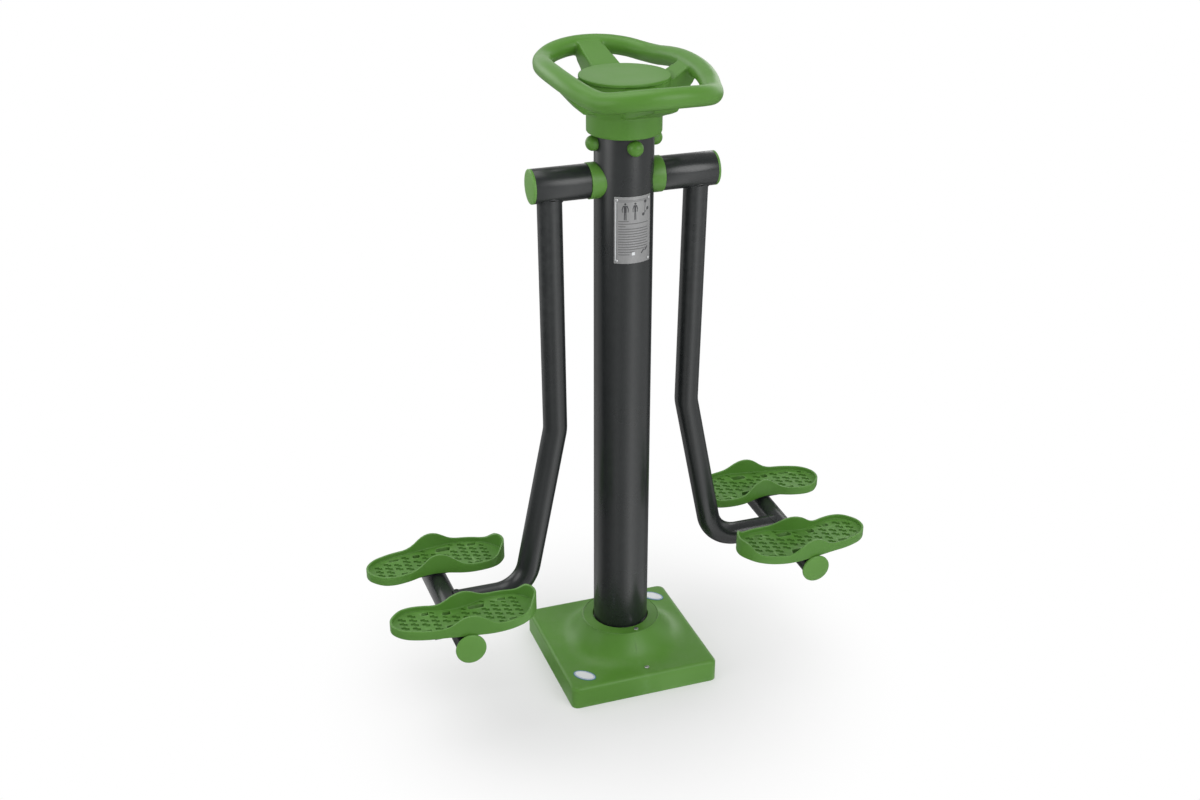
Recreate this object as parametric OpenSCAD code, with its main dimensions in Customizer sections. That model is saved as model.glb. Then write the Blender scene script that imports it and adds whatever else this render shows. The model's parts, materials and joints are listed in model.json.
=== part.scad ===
// Two-person pendulum walker for a park: a post on a bolted base, two arms that swing
// from one axle, a pair of foot plates on each arm and a fixed handwheel on top.
// Millimetres. Origin on the ground at the post's axis, X along the axle, Z up.
// The arms are drawn as the photograph shows them, each a little off plumb.

/* [Post and axle] */
// Outside diameter of the post
post_d = 114.3; // [108:0.1:127]
// Wall of the post tube
post_wall = 4; // [3:0.5:6]
// Height of the axle above the ground
axle_h = 1079; // [950:1:1200]
// Diameter of the axle
axle_d = 25; // [20:1:30]
// How far each arm stands off plumb, in degrees
arm_lean = 2.3; // [-30:0.1:30]

/* [Base] */
// Side of the square base cover
cover_w = 321.6; // [300:1:380]
// Height of the cover's flat top
cover_top_h = 48; // [40:1:60]
// Height of the cover's collar
cover_collar_h = 104.6; // [95:1:125]
// Outside diameter of the collar
collar_d = 164; // [150:1:180]
// Plan radius of the cover's corners
cover_corner_r = 14; // [10:1:25]
// Radius of the cover's top edge
cover_edge_r = 8; // [4:1:10]
// Side of the steel base flange
flange_w = 270; // [250:1:290]
// Thickness of the base flange
flange_t = 12; // [10:1:16]
// Distance between the anchor holes
anchor_pitch = 210; // [180:1:230]
// Diameter of the anchor holes
anchor_hole_d = 18; // [14:1:22]

/* [Arms] */
// Outside diameter of the arm tubes and crossbars
arm_d = 48.3; // [42:0.1:55]
// Wall of the arm tubes and crossbars
arm_wall = 3.2; // [2.5:0.1:5]
// Distance from the post's axis to an arm's upper run
arm_x = 148.5; // [135:0.5:150]
// Height where the arm kinks outwards
kink_h = 581.5; // [500:0.5:650]
// Distance from the post's axis to the arm's lower corner
corner_x = 224.6; // [200:0.5:235]
// Height of the crossbar's axis
crossbar_h = 229.5; // [200:0.5:260]
// Distance from the post's axis to the crossbar
crossbar_x = 386; // [370:1:420]
// Length of the crossbar over its caps
crossbar_l = 370; // [350:1:420]
// Centreline radius of the lower bend
bend_r = 72; // [60:1:80]
// Centreline radius of the kink
kink_r = 80; // [60:1:120]

/* [Axle sleeves] */
// Outside diameter of a sleeve
sleeve_d = 66.2; // [62:0.1:70]
// Distance from the post's axis to a sleeve's inner end
sleeve_in_x = 74.2; // [72:0.1:80]
// Distance from the post's axis to a sleeve's outer end
sleeve_out_x = 182; // [178:0.5:195]
// Outside diameter of the bearings
bearing_d = 52; // [47:1:54]
// Width of the bearings
bearing_w = 15; // [12:1:17]

/* [Foot plates] */
// Length of a foot plate
plate_l = 293; // [270:1:330]
// Width of a foot plate
plate_w = 124; // [110:1:130]
// Distance from the arm's mid plane to a foot plate's inner edge
plate_in_y = 61; // [56:0.5:80]
// How far a foot plate's heel passes the crossbar's axis
heel_x = 152; // [140:1:160]
// Thickness of a foot plate's walls
plate_wall = 4.5; // [3.5:0.5:7]
// Thickness of a foot plate's floor
floor_t = 10; // [7:0.5:11]
// Height of the rim over the toe
rim_h = 19; // [16:0.5:28]
// Height of the side wings
wing_h = 43; // [32:0.5:55]
// Height of the heel wall
heel_h = 40; // [32:0.5:50]

/* [Handwheel] */
// Half the handwheel's centreline width, along the axle
wheel_half_x = 135; // [120:1:150]
// Half the handwheel's centreline depth, across the axle
wheel_half_y = 220.4; // [190:0.1:240]
// Rise of the rail's centreline over the skirt's lower edge
rail_rise = 115; // [105:0.5:130]
// How far the handwheel's corners drop below its middles
wheel_dip = 12; // [0:1:20]
// Diameter of the handwheel's rail
rail_d = 38; // [32:1:42]
// Outside diameter of the skirt
skirt_d = 143; // [136:1:150]
// Rise of the skirt's lower edge over the axle
skirt_rise = 89.7; // [85:0.1:110]
// Outside diameter of the hub
hub_d = 168; // [158:1:176]
// Drop from the rail's centreline to the hub's top face
hub_drop = 7.7; // [0:0.1:14]
// Width of a spoke at the hub
spoke_w = 62; // [50:1:70]
// Gap between the skirt's lower edge and the caps of the bolts that hold the handwheel
bolt_cap_gap = 3.1; // [1:0.1:10]

/* [Info plate] */
// Height of the info plate
info_h = 132; // [120:1:160]
// Drop from the axle to the info plate's upper edge
info_drop = 21; // [16:1:200]
// Width of the info plate along its curve
info_w = 78; // [60:1:90]

/* [Hidden] */

// Overrun of a cutter past the face it opens
eps = 1;
// Gap between parts that touch on one body
seat = 0.2;
// Gap between a moving face and a fixed one
run_gap = 0.6;
// Radial play of the balls between their rings
ball_play = 0.05;
round_fn = 48;
small_fn = 24;

post_r = post_d / 2;
post_in_r = post_r - post_wall;
ball_cap_r = 14.6;
skirt_h = axle_h + skirt_rise;
wheel_h = skirt_h + rail_rise;
hub_top_h = wheel_h - hub_drop;
wheel_bolt_h = skirt_h - bolt_cap_gap - ball_cap_r;
info_low_h = axle_h - info_drop - info_h;
post_top_h = skirt_h + post_wall * 2;
axle_r = axle_d / 2;
boss_wall = 8.7;
boss_r = axle_r + boss_wall;
collar_r = collar_d / 2;
cover_r = cover_w / 2;
cover_wall = 3;
gusset_t = 8;
gusset_h = 62;
gusset_out = 52;
seam_gap = 0.3;
collar_rise = 3;
collar_foot_h = cover_collar_h - collar_rise;
flare_steps = 7;
flare_power = 2.8;
side_steps = 4;
corner_steps = 3;
lean_run = corner_x - arm_x;
lean_drop = kink_h - crossbar_h;
lean_l = norm([lean_run, lean_drop]);
lean_deg = atan(lean_run / lean_drop);
weld_l = 5;
kink_cut = kink_r * tan(lean_deg / 2);
turn_deg = 90 - lean_deg;
bend_cut = bend_r * tan(turn_deg / 2);
arm_r = arm_d / 2;
arm_in_r = arm_r - arm_wall;
sleeve_r = sleeve_d / 2;
bearing_r = bearing_d / 2;
shoulder_step = 2.5;
shoulder_r = bearing_r - shoulder_step;
bearing_in = 5.8;
bearing_back = 34;
bearing_x1 = sleeve_in_x + bearing_in;
bearing_x2 = sleeve_out_x - bearing_back;
race_out_t = 3.2;
race_in_t = 3.4;
ball_sink = 0.9;
race_out_r = bearing_r - race_out_t;
race_in_r = axle_r + race_in_t;
ball_r = (race_out_r - race_in_r) / 2 + ball_sink;
ball_ring_r = (race_out_r + race_in_r) / 2;
ball_count = 8;
boss_end_gap = 1.2;
boss_half_l = sleeve_in_x - boss_end_gap;
spacer_step = 1.7;
spacer_r = sleeve_r + spacer_step;
washer_t = 2.5;
nut_h = 12;
nut_step = 11;
nut_af = axle_d + nut_step;
axle_tip = 1.5;
axle_half_l = bearing_x2 + bearing_w + washer_t + nut_h + axle_tip;
cap_flange_t = 4;
cap_dome = 3;
plug_l = 8;
plug_wall = 3;
bar_cap_step = 6.2;
bar_cap_r = arm_r + bar_cap_step;
bar_cap_t = 5;
bar_cap_dome = 4;
bar_half_l = crossbar_l / 2 - bar_cap_t;
plate_lift = 2.35;
plate_low_h = crossbar_h + arm_r + plate_lift;
bracket_t = 5;
bracket_l = 130;
bracket_w = 76;
bracket_y = plate_in_y + plate_w / 2;
bolt_d = 8;
bolt_head_r = 7.15;
bolt_head_h = 5.3;
bolt_x = 48;
bolt_y = 18;
bolt_bite = 5;
// Foot plate outline from toe to heel: place along the length, place across the width
outer_shares = [[0.004, 0.49], [0.0215, 0.58], [0.053, 0.672], [0.107, 0.758], [0.21, 0.84], [0.33, 0.887],
    [0.443, 0.935], [0.536, 0.968], [0.639, 1], [0.746, 0.984], [0.845, 0.911], [0.921, 0.79],
    [0.972, 0.63], [0.994, 0.53]];
inner_shares = [[0.004, 0.328], [0.0215, 0.229], [0.069, 0.097], [0.12, 0.03], [0.19, 0.015], [0.28, 0.055],
    [0.37, 0.13], [0.457, 0.16], [0.553, 0.115], [0.663, 0.025], [0.756, 0], [0.859, 0.025],
    [0.928, 0.1], [0.977, 0.24], [0.995, 0.34]];
toe_shares = [0, 0.41];
heel_shares = [1, 0.43];
// Rim height along the length: place, then share of the way from rim to wing or heel
wing_shares = [[0.3, 0], [0.345, 0.1], [0.39, 0.38], [0.43, 0.74], [0.47, 0.95], [0.5, 1],
    [0.53, 0.97], [0.57, 0.8], [0.61, 0.5], [0.65, 0.2], [0.69, 0.05], [0.73, 0]];
heel_rise_shares = [[0.86, 0], [0.89, 0.06], [0.92, 0.26], [0.945, 0.64], [0.968, 0.92], [1.02, 1]];
// Slots through a foot plate's floor: place along and across, then length and width
slot_shares = [[0.788, 0.16, 0.065, 0.073], [0.8, 0.806, 0.068, 0.081], [0.602, 0.242, 0.123, 0.105],
    [0.587, 0.79, 0.116, 0.113], [0.392, 0.282, 0.061, 0.097], [0.382, 0.71, 0.058, 0.105],
    [0.254, 0.192, 0.055, 0.089], [0.217, 0.7, 0.082, 0.065]];
// Rows of recesses in the floor's tread: place along, first place across, then how many
grip_rows_shares = [[0.865, 0.315, 4], [0.795, 0.325, 4], [0.725, 0.36, 3], [0.654, 0.45, 2],
    [0.584, 0.46, 2], [0.514, 0.53, 2], [0.443, 0.39, 3], [0.373, 0.44, 2], [0.303, 0.39, 3],
    [0.232, 0.37, 3], [0.162, 0.245, 4], [0.092, 0.25, 4]];
grip_pitch = 16;
grip_l = 12;
grip_w = 6;
grip_depth = 1.5;
rail_r = rail_d / 2;
// A quarter of the rail from over the axle: place along X, place along Y, share of the dip
rail_shares = [[1, 0, 0.07], [0.987, 0.218, 0.17], [0.941, 0.417, 0.47], [0.863, 0.599, 0.88],
    [0.763, 0.774, 0.96], [0.567, 0.901, 0.5], [0.296, 0.976, 0.12], [0, 1, 0]];
rail_sides = 16;
skirt_r = skirt_d / 2;
skirt_l = 43.3;
skirt_top_h = skirt_h + skirt_l;
edge_cut = 1.5;
ledge_cut = 2.5;
hub_r = hub_d / 2;
hub_flare_l = 26;
hub_flare_h = skirt_top_h + hub_flare_l;
hub_cap_t = 6;
hub_rim_h = hub_top_h - hub_cap_t;
hub_floor_l = 18;
hub_floor_h = skirt_top_h + hub_floor_l;
hub_wall = 14;
hub_cavity_r = hub_r - hub_wall;
insert_gap = 0.3;
insert_r = post_in_r - insert_gap;
insert_wall = 5;
insert_tail = 30;
insert_low_h = wheel_bolt_h - insert_tail;
insert_plate_gap = 3;
insert_plate_r = hub_cavity_r - insert_plate_gap;
insert_plate_t = 8;
insert_screw_r = (insert_r + insert_plate_r) / 2;
insert_screw_d = 6;
insert_screw_l = 16;
insert_head_r = 4.8;
cap_lip = 2;
spoke_tip_share = 0.74;
web_land = 4;
spoke_sink_share = 0.7;
spoke_edge_share = 0.6;
spoke_crown_share = 0.86;
// Underside of a short and of a long spoke: place along it, then share of the rise to the rail
short_web_shares = [[0, 0], [0.28, 0.02], [0.5, 0.26], [0.75, 0.55], [0.95, 0.78], [1, 0.95]];
long_web_shares = [[0, 0], [0.08, 0.01], [0.3, 0.18], [0.5, 0.36], [0.75, 0.57], [0.92, 0.74], [1, 0.95]];
wheel_bolt_r = 5;
wheel_bolt_head_h = 5;
ball_cap_l = 8;
ball_cap_dome = 13;
ball_cap_wall = 2.5;
ball_cap_room = ball_cap_l + 1.5;
ball_cap_sink = 2;
info_t = 1.5;
info_margin = 6;
rivet_r = 3;
rivet_h = 1.6;
info_deg = info_w / post_r * 180 / PI;
badge_l = 50;
badge_w = 30;
badge_t = 0.8;
badge_x = 122;
badge_y = 119;
screw_head_r = 5;
screw_head_h = 2.6;
screw_r = 2;
screw_l = 12;
screw_x = 10.5;
screw_in_y = 69;
screw_out_y = 135;

anthracite = [0.23, 0.24, 0.25];
green = [0.33, 0.55, 0.24];
steel = [0.7, 0.71, 0.72];
grey = [0.62, 0.63, 0.64];

// Places

module right_arm() {
    translate([0, 0, axle_h]) rotate([arm_lean, 0, 0]) translate([0, 0, -axle_h]) children();
}

module left_arm() rotate([0, 0, 180]) right_arm() children();

module both_ends() {
    children();
    rotate([0, 0, 180]) children();
}

module quarter_turns() for (i = [0:3]) rotate([0, 0, 90 * i]) children();

module along_x(x, r, l) translate([x, 0, axle_h]) rotate([0, 90, 0])
    cylinder(r = r, h = l, $fn = round_fn);

module ring_x(x, r_out, r_in, l) difference() {
    along_x(x, r_out, l);
    along_x(x - eps, r_in, l + 2 * eps);
}

// A cap's disc with a domed face, from z = 0 up
module dome_disc(r, t, dome) rotate_extrude($fn = round_fn) polygon(concat(
    [[0, 0], [r, 0]],
    [for (i = [0:6]) let (a = i * 15) [r * cos(a), t + dome * sin(a)]]));

// Base

module post() color(anthracite) difference() {
    translate([0, 0, flange_t]) cylinder(r = post_r, h = post_top_h - flange_t, $fn = round_fn);
    cylinder(r = post_in_r, h = post_top_h + eps, $fn = round_fn);
    along_x(-post_d, boss_r + seat, 2 * post_d);
    quarter_turns() translate([0, 0, wheel_bolt_h]) rotate([0, 90, 0])
        cylinder(r = wheel_bolt_r + seat, h = post_d, $fn = small_fn);
}

module base_flange() color(anthracite) difference() {
    translate([-flange_w / 2, -flange_w / 2, 0]) cube([flange_w, flange_w, flange_t]);
    for (x = [-1, 1], y = [-1, 1]) translate([x * anchor_pitch / 2, y * anchor_pitch / 2, -eps])
        cylinder(d = anchor_hole_d, h = flange_t + 2 * eps, $fn = small_fn);
}

module flange_gussets() color(anthracite) quarter_turns()
    translate([0, gusset_t / 2, flange_t]) rotate([90, 0, 0]) linear_extrude(gusset_t)
        polygon([[post_r + seat, 0], [post_r + gusset_out, 0],
            [post_r + gusset_out, gusset_t], [post_r + gusset_t, gusset_h],
            [post_r + seat, gusset_h]]);

// The cover's outline: a rounded square, as a list of points that starts beside +X
function square_ring(half) = let (c = half - cover_corner_r)
    [for (q = [0:3]) each let (turn = [[cos(90 * q), sin(90 * q)], [-sin(90 * q), cos(90 * q)]])
        [for (p = concat(
            [for (i = [1 - side_steps:side_steps - 1]) [half, c * i / side_steps]],
            [for (i = [0:corner_steps]) let (a = i * 90 / corner_steps)
                [c + cover_corner_r * cos(a), c + cover_corner_r * sin(a)]])) p * turn]];
function circle_ring(r) = [for (p = square_ring(cover_r)) r * p / norm(p)];
function at_height(ring, h) = [for (p = ring) [p[0], p[1], h]];
function flare_h(share) = cover_top_h + (collar_foot_h - cover_top_h) * pow(share, flare_power);
// How far up the flare a spot at distance r from the post's axis lies: 0 on the flat, 1 at the collar
function flare_share(r) = let (flat_r = cover_r - cover_edge_r)
    min(1, max(0, (flat_r - r) / (flat_r - collar_r)));
function flare_ring(share) = let (a = square_ring(cover_r - cover_edge_r), b = circle_ring(collar_r))
    [for (i = [0:len(a) - 1]) let (p = a[i] * (1 - share) + b[i] * share)
        [p[0], p[1], flare_h(flare_share(norm(p)))]];

// A stack of outlines closed at both ends. in pulls the skin inwards and down
module cover_shape(in) {
    low = in > 0 ? -eps : 0;
    rings = concat(
        [at_height(square_ring(cover_r - in), low)],
        [for (i = [0:4]) let (a = i * 22.5) at_height(
            square_ring(cover_r - in - cover_edge_r * (1 - cos(a))),
            cover_top_h - in - cover_edge_r * (1 - sin(a)))],
        [for (i = [1:flare_steps]) [for (p = flare_ring(i / flare_steps))
            [p[0], p[1], p[2]] - in * [p[0] / norm([p[0], p[1]]) * i / flare_steps,
                p[1] / norm([p[0], p[1]]) * i / flare_steps, 1]]],
        [at_height(circle_ring(post_r), cover_collar_h - in)]);
    n = len(rings[0]);
    last = len(rings) - 1;
    polyhedron(
        points = concat([[0, 0, low]], [for (r = rings) each r], [[0, 0, cover_collar_h - in]]),
        faces = concat(
            [for (i = [0:n - 1]) [0, 1 + i, 1 + (i + 1) % n]],
            [for (k = [0:last - 1], i = [0:n - 1]) let (j = (i + 1) % n, a = 1 + k * n)
                each [[a + i, a + n + i, a + n + j], [a + i, a + n + j, a + j]]],
            [for (i = [0:n - 1]) let (a = 1 + last * n) [a + i, a + n, a + (i + 1) % n]]));
}

module cover_half() difference() {
    intersection() {
        difference() {
            cover_shape(0);
            cover_shape(cover_wall);
        }
        translate([seam_gap / 2, -cover_w, -eps]) cube([cover_w, 2 * cover_w, 2 * cover_collar_h]);
    }
    cylinder(r = post_r + seat, h = 2 * cover_collar_h, $fn = round_fn);
}

screw_out_h = flare_h(flare_share(norm([screw_x, screw_out_y])));
screw_in_h = collar_foot_h + (cover_collar_h - collar_foot_h)
    * (collar_r - norm([screw_x, screw_in_y])) / (collar_r - post_r);

module screw_spots() {
    for (y = [-1, 1]) {
        translate([screw_x, y * screw_in_y, screw_in_h]) children();
        translate([screw_x, y * screw_out_y, screw_out_h]) children();
    }
}

module screw_boss() translate([0, 0, -screw_l - cover_wall])
    cylinder(r = 2 * screw_r, h = screw_l + cover_wall / 2, $fn = small_fn);
module screw_bore() translate([0, 0, -screw_l]) cylinder(r = screw_r, h = 2 * screw_l, $fn = small_fn);
module screw_seat() cylinder(r = screw_head_r + seat, h = screw_head_h * 2, $fn = small_fn);

module base_cover_left() color(green) rotate([0, 0, 180]) cover_half();

module base_cover_right() color(green) difference() {
    union() {
        cover_half();
        screw_spots() screw_boss();
    }
    screw_spots() {
        screw_bore();
        screw_seat();
    }
}

module cover_screws() color(steel) screw_spots() {
    translate([0, 0, -screw_l]) cylinder(r = screw_r, h = screw_l, $fn = small_fn);
    dome_disc(screw_head_r, screw_head_h / 2, screw_head_h / 2);
}

module blank_badges() color(grey) both_ends() difference() {
    intersection() {
        cover_shape(-badge_t);
        translate([badge_x, badge_y, cover_edge_r]) rotate([0, 0, -45])
            scale([1, badge_w / badge_l, 1]) cylinder(d = badge_l, h = cover_collar_h, $fn = small_fn);
    }
    cover_shape(0);
}

// Axle

module axle_boss() color(anthracite) ring_x(-boss_half_l, boss_r, axle_r, 2 * boss_half_l);

module axle() color(steel) along_x(-axle_half_l, axle_r, 2 * axle_half_l);

module spacer_ring() color(green) difference() {
    ring_x(post_r / 2, spacer_r, boss_r + seat, sleeve_in_x - run_gap - post_r / 2);
    translate([0, 0, axle_h - sleeve_d]) cylinder(r = post_r + seat, h = 2 * sleeve_d, $fn = round_fn);
}

module left_spacer_ring() rotate([0, 0, 180]) spacer_ring();
module right_spacer_ring() spacer_ring();

module distance_rings() color(steel) both_ends() {
    ring_x(boss_half_l, race_in_r, axle_r, bearing_x1 - boss_half_l);
    ring_x(bearing_x1 + bearing_w, race_in_r, axle_r, bearing_x2 - bearing_x1 - bearing_w);
}

module ball_groove(x) translate([x + bearing_w / 2, 0, axle_h]) rotate([0, 90, 0])
    rotate_extrude($fn = round_fn) translate([ball_ring_r, 0])
        circle(r = ball_r + ball_play, $fn = small_fn);

module bearing_inners() color(steel) both_ends() for (x = [bearing_x1, bearing_x2]) difference() {
    ring_x(x, race_in_r, axle_r, bearing_w);
    ball_groove(x);
}

module bearing_balls() color(steel) both_ends() for (x = [bearing_x1, bearing_x2])
    translate([x + bearing_w / 2, 0, axle_h]) for (i = [0:ball_count - 1])
        rotate([i * 360 / ball_count, 0, 0]) translate([0, 0, ball_ring_r]) sphere(r = ball_r, $fn = 14);

module axle_washers() color(steel) both_ends()
    ring_x(bearing_x2 + bearing_w, race_in_r, axle_r, washer_t);

module axle_nuts() color(steel) both_ends() difference() {
    translate([bearing_x2 + bearing_w + washer_t, 0, axle_h]) rotate([0, 90, 0])
        cylinder(d = nut_af / cos(30), h = nut_h, $fn = 6);
    along_x(bearing_x2, axle_r, axle_half_l);
}

// Info plate

module info_plate() color(grey) translate([0, 0, info_low_h]) rotate([0, 0, -90 - info_deg / 2])
    rotate_extrude(angle = info_deg, $fn = 2 * round_fn)
        translate([post_r + seat, 0]) square([info_t, info_h]);

module info_plate_rivets() color(steel)
    for (side = [-1, 1], z = [info_margin, info_h - info_margin])
        rotate([0, 0, -90 + side * (info_deg / 2 - info_margin / post_r * 180 / PI)])
            translate([post_r + seat + info_t, 0, info_low_h + z]) rotate([0, 90, 0])
                dome_disc(rivet_r, rivet_h / 4, rivet_h);

// Handwheel

module handwheel_insert() color(steel) difference() {
    union() {
        translate([0, 0, insert_low_h])
            cylinder(r = insert_r, h = hub_floor_h - insert_low_h + insert_plate_t / 2, $fn = round_fn);
        translate([0, 0, hub_floor_h]) cylinder(r = insert_plate_r, h = insert_plate_t, $fn = round_fn);
    }
    translate([0, 0, insert_low_h - eps])
        cylinder(r = insert_r - insert_wall, h = hub_floor_h - insert_low_h + 2 * insert_plate_t,
            $fn = round_fn);
    quarter_turns() {
        translate([0, 0, wheel_bolt_h]) rotate([0, 90, 0])
            cylinder(r = wheel_bolt_r, h = post_d, $fn = small_fn);
        rotate([0, 0, 45]) translate([insert_screw_r, 0, hub_floor_h - eps])
            cylinder(r = insert_screw_d / 2 + seat, h = insert_plate_t + 2 * eps, $fn = small_fn);
    }
}

module handwheel_screws() color(steel) quarter_turns() rotate([0, 0, 45])
    translate([insert_screw_r, 0, hub_floor_h + insert_plate_t]) {
        translate([0, 0, -insert_screw_l]) cylinder(d = insert_screw_d, h = insert_screw_l, $fn = small_fn);
        dome_disc(insert_head_r, insert_screw_d / 4, insert_screw_d / 4);
    }

// The rail's quarter knots go round as two mirrored pairs
function rail_knot(i) = let (n = len(rail_shares) - 1, turn = floor(i / n) % 4,
    k = rail_shares[turn % 2 == 0 ? i % n : n - i % n])
    [wheel_half_x * k[0] * (turn == 1 || turn == 2 ? -1 : 1),
     wheel_half_y * k[1] * (turn > 1 ? -1 : 1), wheel_h - wheel_dip * k[2]];
rail_knots = 4 * (len(rail_shares) - 1);
rail_path = [for (i = [rail_knots:2 * rail_knots - 1], t = [0, 0.5])
    smooth(rail_knot(i - 1), rail_knot(i), rail_knot(i + 1), rail_knot(i + 2), t)];
function unit(v) = v / norm(v);
function rail_section(i) = let (
    n = len(rail_path),
    t = unit(rail_path[(i + 1) % n] - rail_path[(i + n - 1) % n]),
    side = unit(cross(t, [0, 0, 1])), up = cross(side, t))
    [for (k = [0:rail_sides - 1]) let (a = k * 360 / rail_sides)
        rail_path[i] + rail_r * (cos(a) * side + sin(a) * up)];

module rail() polyhedron(
    points = [for (i = [0:len(rail_path) - 1]) each rail_section(i)],
    faces = [for (i = [0:len(rail_path) - 1], k = [0:rail_sides - 1])
        let (j = (i + 1) % len(rail_path), m = (k + 1) % rail_sides,
            a = i * rail_sides + k, b = i * rail_sides + m,
            c = j * rail_sides + m, d = j * rail_sides + k)
        each [[a, b, c], [a, c, d]]]);

// One spoke along X, whose underside swells from the hub's ledge up to the rail
module spoke(reach, web) {
    low = skirt_top_h - seat;
    rise = wheel_h - rail_r * spoke_sink_share - low;
    run = reach - skirt_r;
    intersection() {
        translate([0, spoke_w / 2, 0]) rotate([90, 0, 0]) linear_extrude(spoke_w) polygon(concat(
            [[skirt_r / 2, hub_rim_h - hub_cap_t], [skirt_r / 2, low]],
            [for (w = web) [skirt_r + run * w[0], low + rise * w[1]]],
            [[reach, wheel_h + rail_r * spoke_sink_share],
             [reach - rail_r * spoke_edge_share, wheel_h + rail_r * spoke_crown_share],
             [hub_r - web_land, hub_rim_h - hub_cap_t / 2]]));
        linear_extrude(2 * wheel_h) polygon([[0, spoke_w / 2], [hub_r, spoke_w / 2],
            [reach, spoke_w / 2 * spoke_tip_share], [reach, -spoke_w / 2 * spoke_tip_share],
            [hub_r, -spoke_w / 2], [0, -spoke_w / 2]]);
    }
}

module hub_outside() rotate_extrude($fn = round_fn) polygon([
    [0, skirt_h], [skirt_r - edge_cut, skirt_h], [skirt_r, skirt_h + edge_cut],
    [skirt_r, skirt_top_h], [skirt_r + ledge_cut, skirt_top_h + ledge_cut],
    [hub_r, hub_flare_h], [hub_r, hub_rim_h], [0, hub_rim_h]]);

module handwheel() color(green) difference() {
    union() {
        hub_outside();
        both_ends() spoke(wheel_half_x, short_web_shares);
        rotate([0, 0, 90]) both_ends() spoke(wheel_half_y, long_web_shares);
        rail();
    }
    translate([0, 0, skirt_h - eps])
        cylinder(r = post_r + seat, h = post_top_h + seat - skirt_h + eps, $fn = round_fn);
    translate([0, 0, skirt_h]) cylinder(r = insert_r + seat, h = hub_rim_h - skirt_h, $fn = round_fn);
    translate([0, 0, hub_floor_h])
        cylinder(r = hub_cavity_r, h = hub_rim_h - hub_floor_h + rail_d, $fn = round_fn);
    translate([0, 0, hub_rim_h]) cylinder(r = hub_r + cap_lip + seat, h = rail_d, $fn = round_fn);
    quarter_turns() rotate([0, 0, 45])
        translate([insert_screw_r, 0, hub_floor_h + insert_plate_t - insert_screw_l - eps])
            cylinder(r = insert_screw_d / 2 + seat, h = insert_screw_l + eps, $fn = small_fn);
}

module hub_cap() color(green) union() {
    translate([0, 0, hub_rim_h]) rotate_extrude($fn = round_fn) polygon([
        [0, 0], [hub_r + cap_lip, 0], [hub_r + cap_lip, hub_cap_t - edge_cut],
        [hub_r + cap_lip - edge_cut, hub_cap_t], [0, hub_cap_t]]);
    translate([0, 0, hub_rim_h - plug_l]) difference() {
        cylinder(r = hub_cavity_r - seat, h = plug_l, $fn = round_fn);
        translate([0, 0, -eps])
            cylinder(r = hub_cavity_r - seat - plug_wall, h = plug_l + eps, $fn = round_fn);
    }
}

module on_post_sides() quarter_turns() translate([0, 0, wheel_bolt_h]) rotate([0, 90, 0]) children();

module handwheel_bolts() color(steel) on_post_sides() {
    translate([0, 0, insert_r - insert_wall])
        cylinder(r = wheel_bolt_r, h = post_r - insert_r + insert_wall + seat, $fn = small_fn);
    translate([0, 0, post_r + seat]) cylinder(r = 2 * wheel_bolt_r, h = wheel_bolt_head_h, $fn = 6);
}

module bolt_caps() color(green) on_post_sides() difference() {
    translate([0, 0, post_r - ball_cap_sink]) dome_disc(ball_cap_r, ball_cap_l, ball_cap_dome);
    translate([0, 0, post_r - ball_cap_sink - eps])
        cylinder(r = ball_cap_r - ball_cap_wall, h = ball_cap_room + eps, $fn = small_fn);
    rotate([0, -90, 0]) translate([0, 0, -ball_cap_r - eps])
        cylinder(r = post_r + seat, h = 2 * ball_cap_r + 2 * eps, $fn = round_fn);
}

// Arms, drawn plumb on the right

module sleeve() color(anthracite) difference() {
    along_x(sleeve_in_x, sleeve_r, sleeve_out_x - sleeve_in_x);
    along_x(sleeve_in_x - eps, shoulder_r, sleeve_out_x);
    along_x(sleeve_in_x - eps, bearing_r, bearing_x1 + bearing_w - sleeve_in_x + eps);
    along_x(bearing_x2, bearing_r, sleeve_out_x);
}

module bearing_outers() color(steel) for (x = [bearing_x1, bearing_x2]) difference() {
    ring_x(x, bearing_r, race_out_r, bearing_w);
    ball_groove(x);
}

module sleeve_cap() color(green) {
    translate([sleeve_out_x, 0, axle_h]) rotate([0, 90, 0]) dome_disc(sleeve_r, cap_flange_t, cap_dome);
    ring_x(sleeve_out_x - plug_l, bearing_r - seat, bearing_r - plug_wall, plug_l + cap_flange_t / 2);
}

module bend(x, z, r, tube_r, from, turn) translate([x, 0, z]) rotate([90, 0, 0]) rotate([0, 0, from])
    rotate_extrude(angle = turn, $fn = 2 * round_fn) translate([r, 0])
        circle(r = tube_r, $fn = round_fn / 2);

// A butt weld, so thin that it only ties two runs of the tube together
module weld(r) translate([0, 0, -weld_l / 2]) cylinder(r = r + seat, h = weld_l, $fn = round_fn / 2);

module arm_run(r) {
    translate([arm_x, 0, kink_h + kink_cut])
        cylinder(r = r, h = axle_h - kink_h - kink_cut, $fn = round_fn / 2);
    bend(arm_x + kink_r, kink_h + kink_cut, kink_r, r, 180, lean_deg);
    translate([arm_x, 0, kink_h]) rotate([0, 180 - lean_deg, 0]) {
        translate([0, 0, kink_cut]) cylinder(r = r, h = lean_l - kink_cut - bend_cut, $fn = round_fn / 2);
        translate([0, 0, kink_cut]) weld(r);
        translate([0, 0, lean_l - bend_cut]) weld(r);
    }
    bend(corner_x + bend_cut, crossbar_h + bend_r, bend_r, r, 180 + lean_deg, turn_deg);
    translate([corner_x + bend_cut, 0, crossbar_h]) rotate([0, 90, 0]) {
        cylinder(r = r, h = crossbar_x - corner_x - bend_cut, $fn = round_fn / 2);
        weld(r);
    }
}

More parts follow.
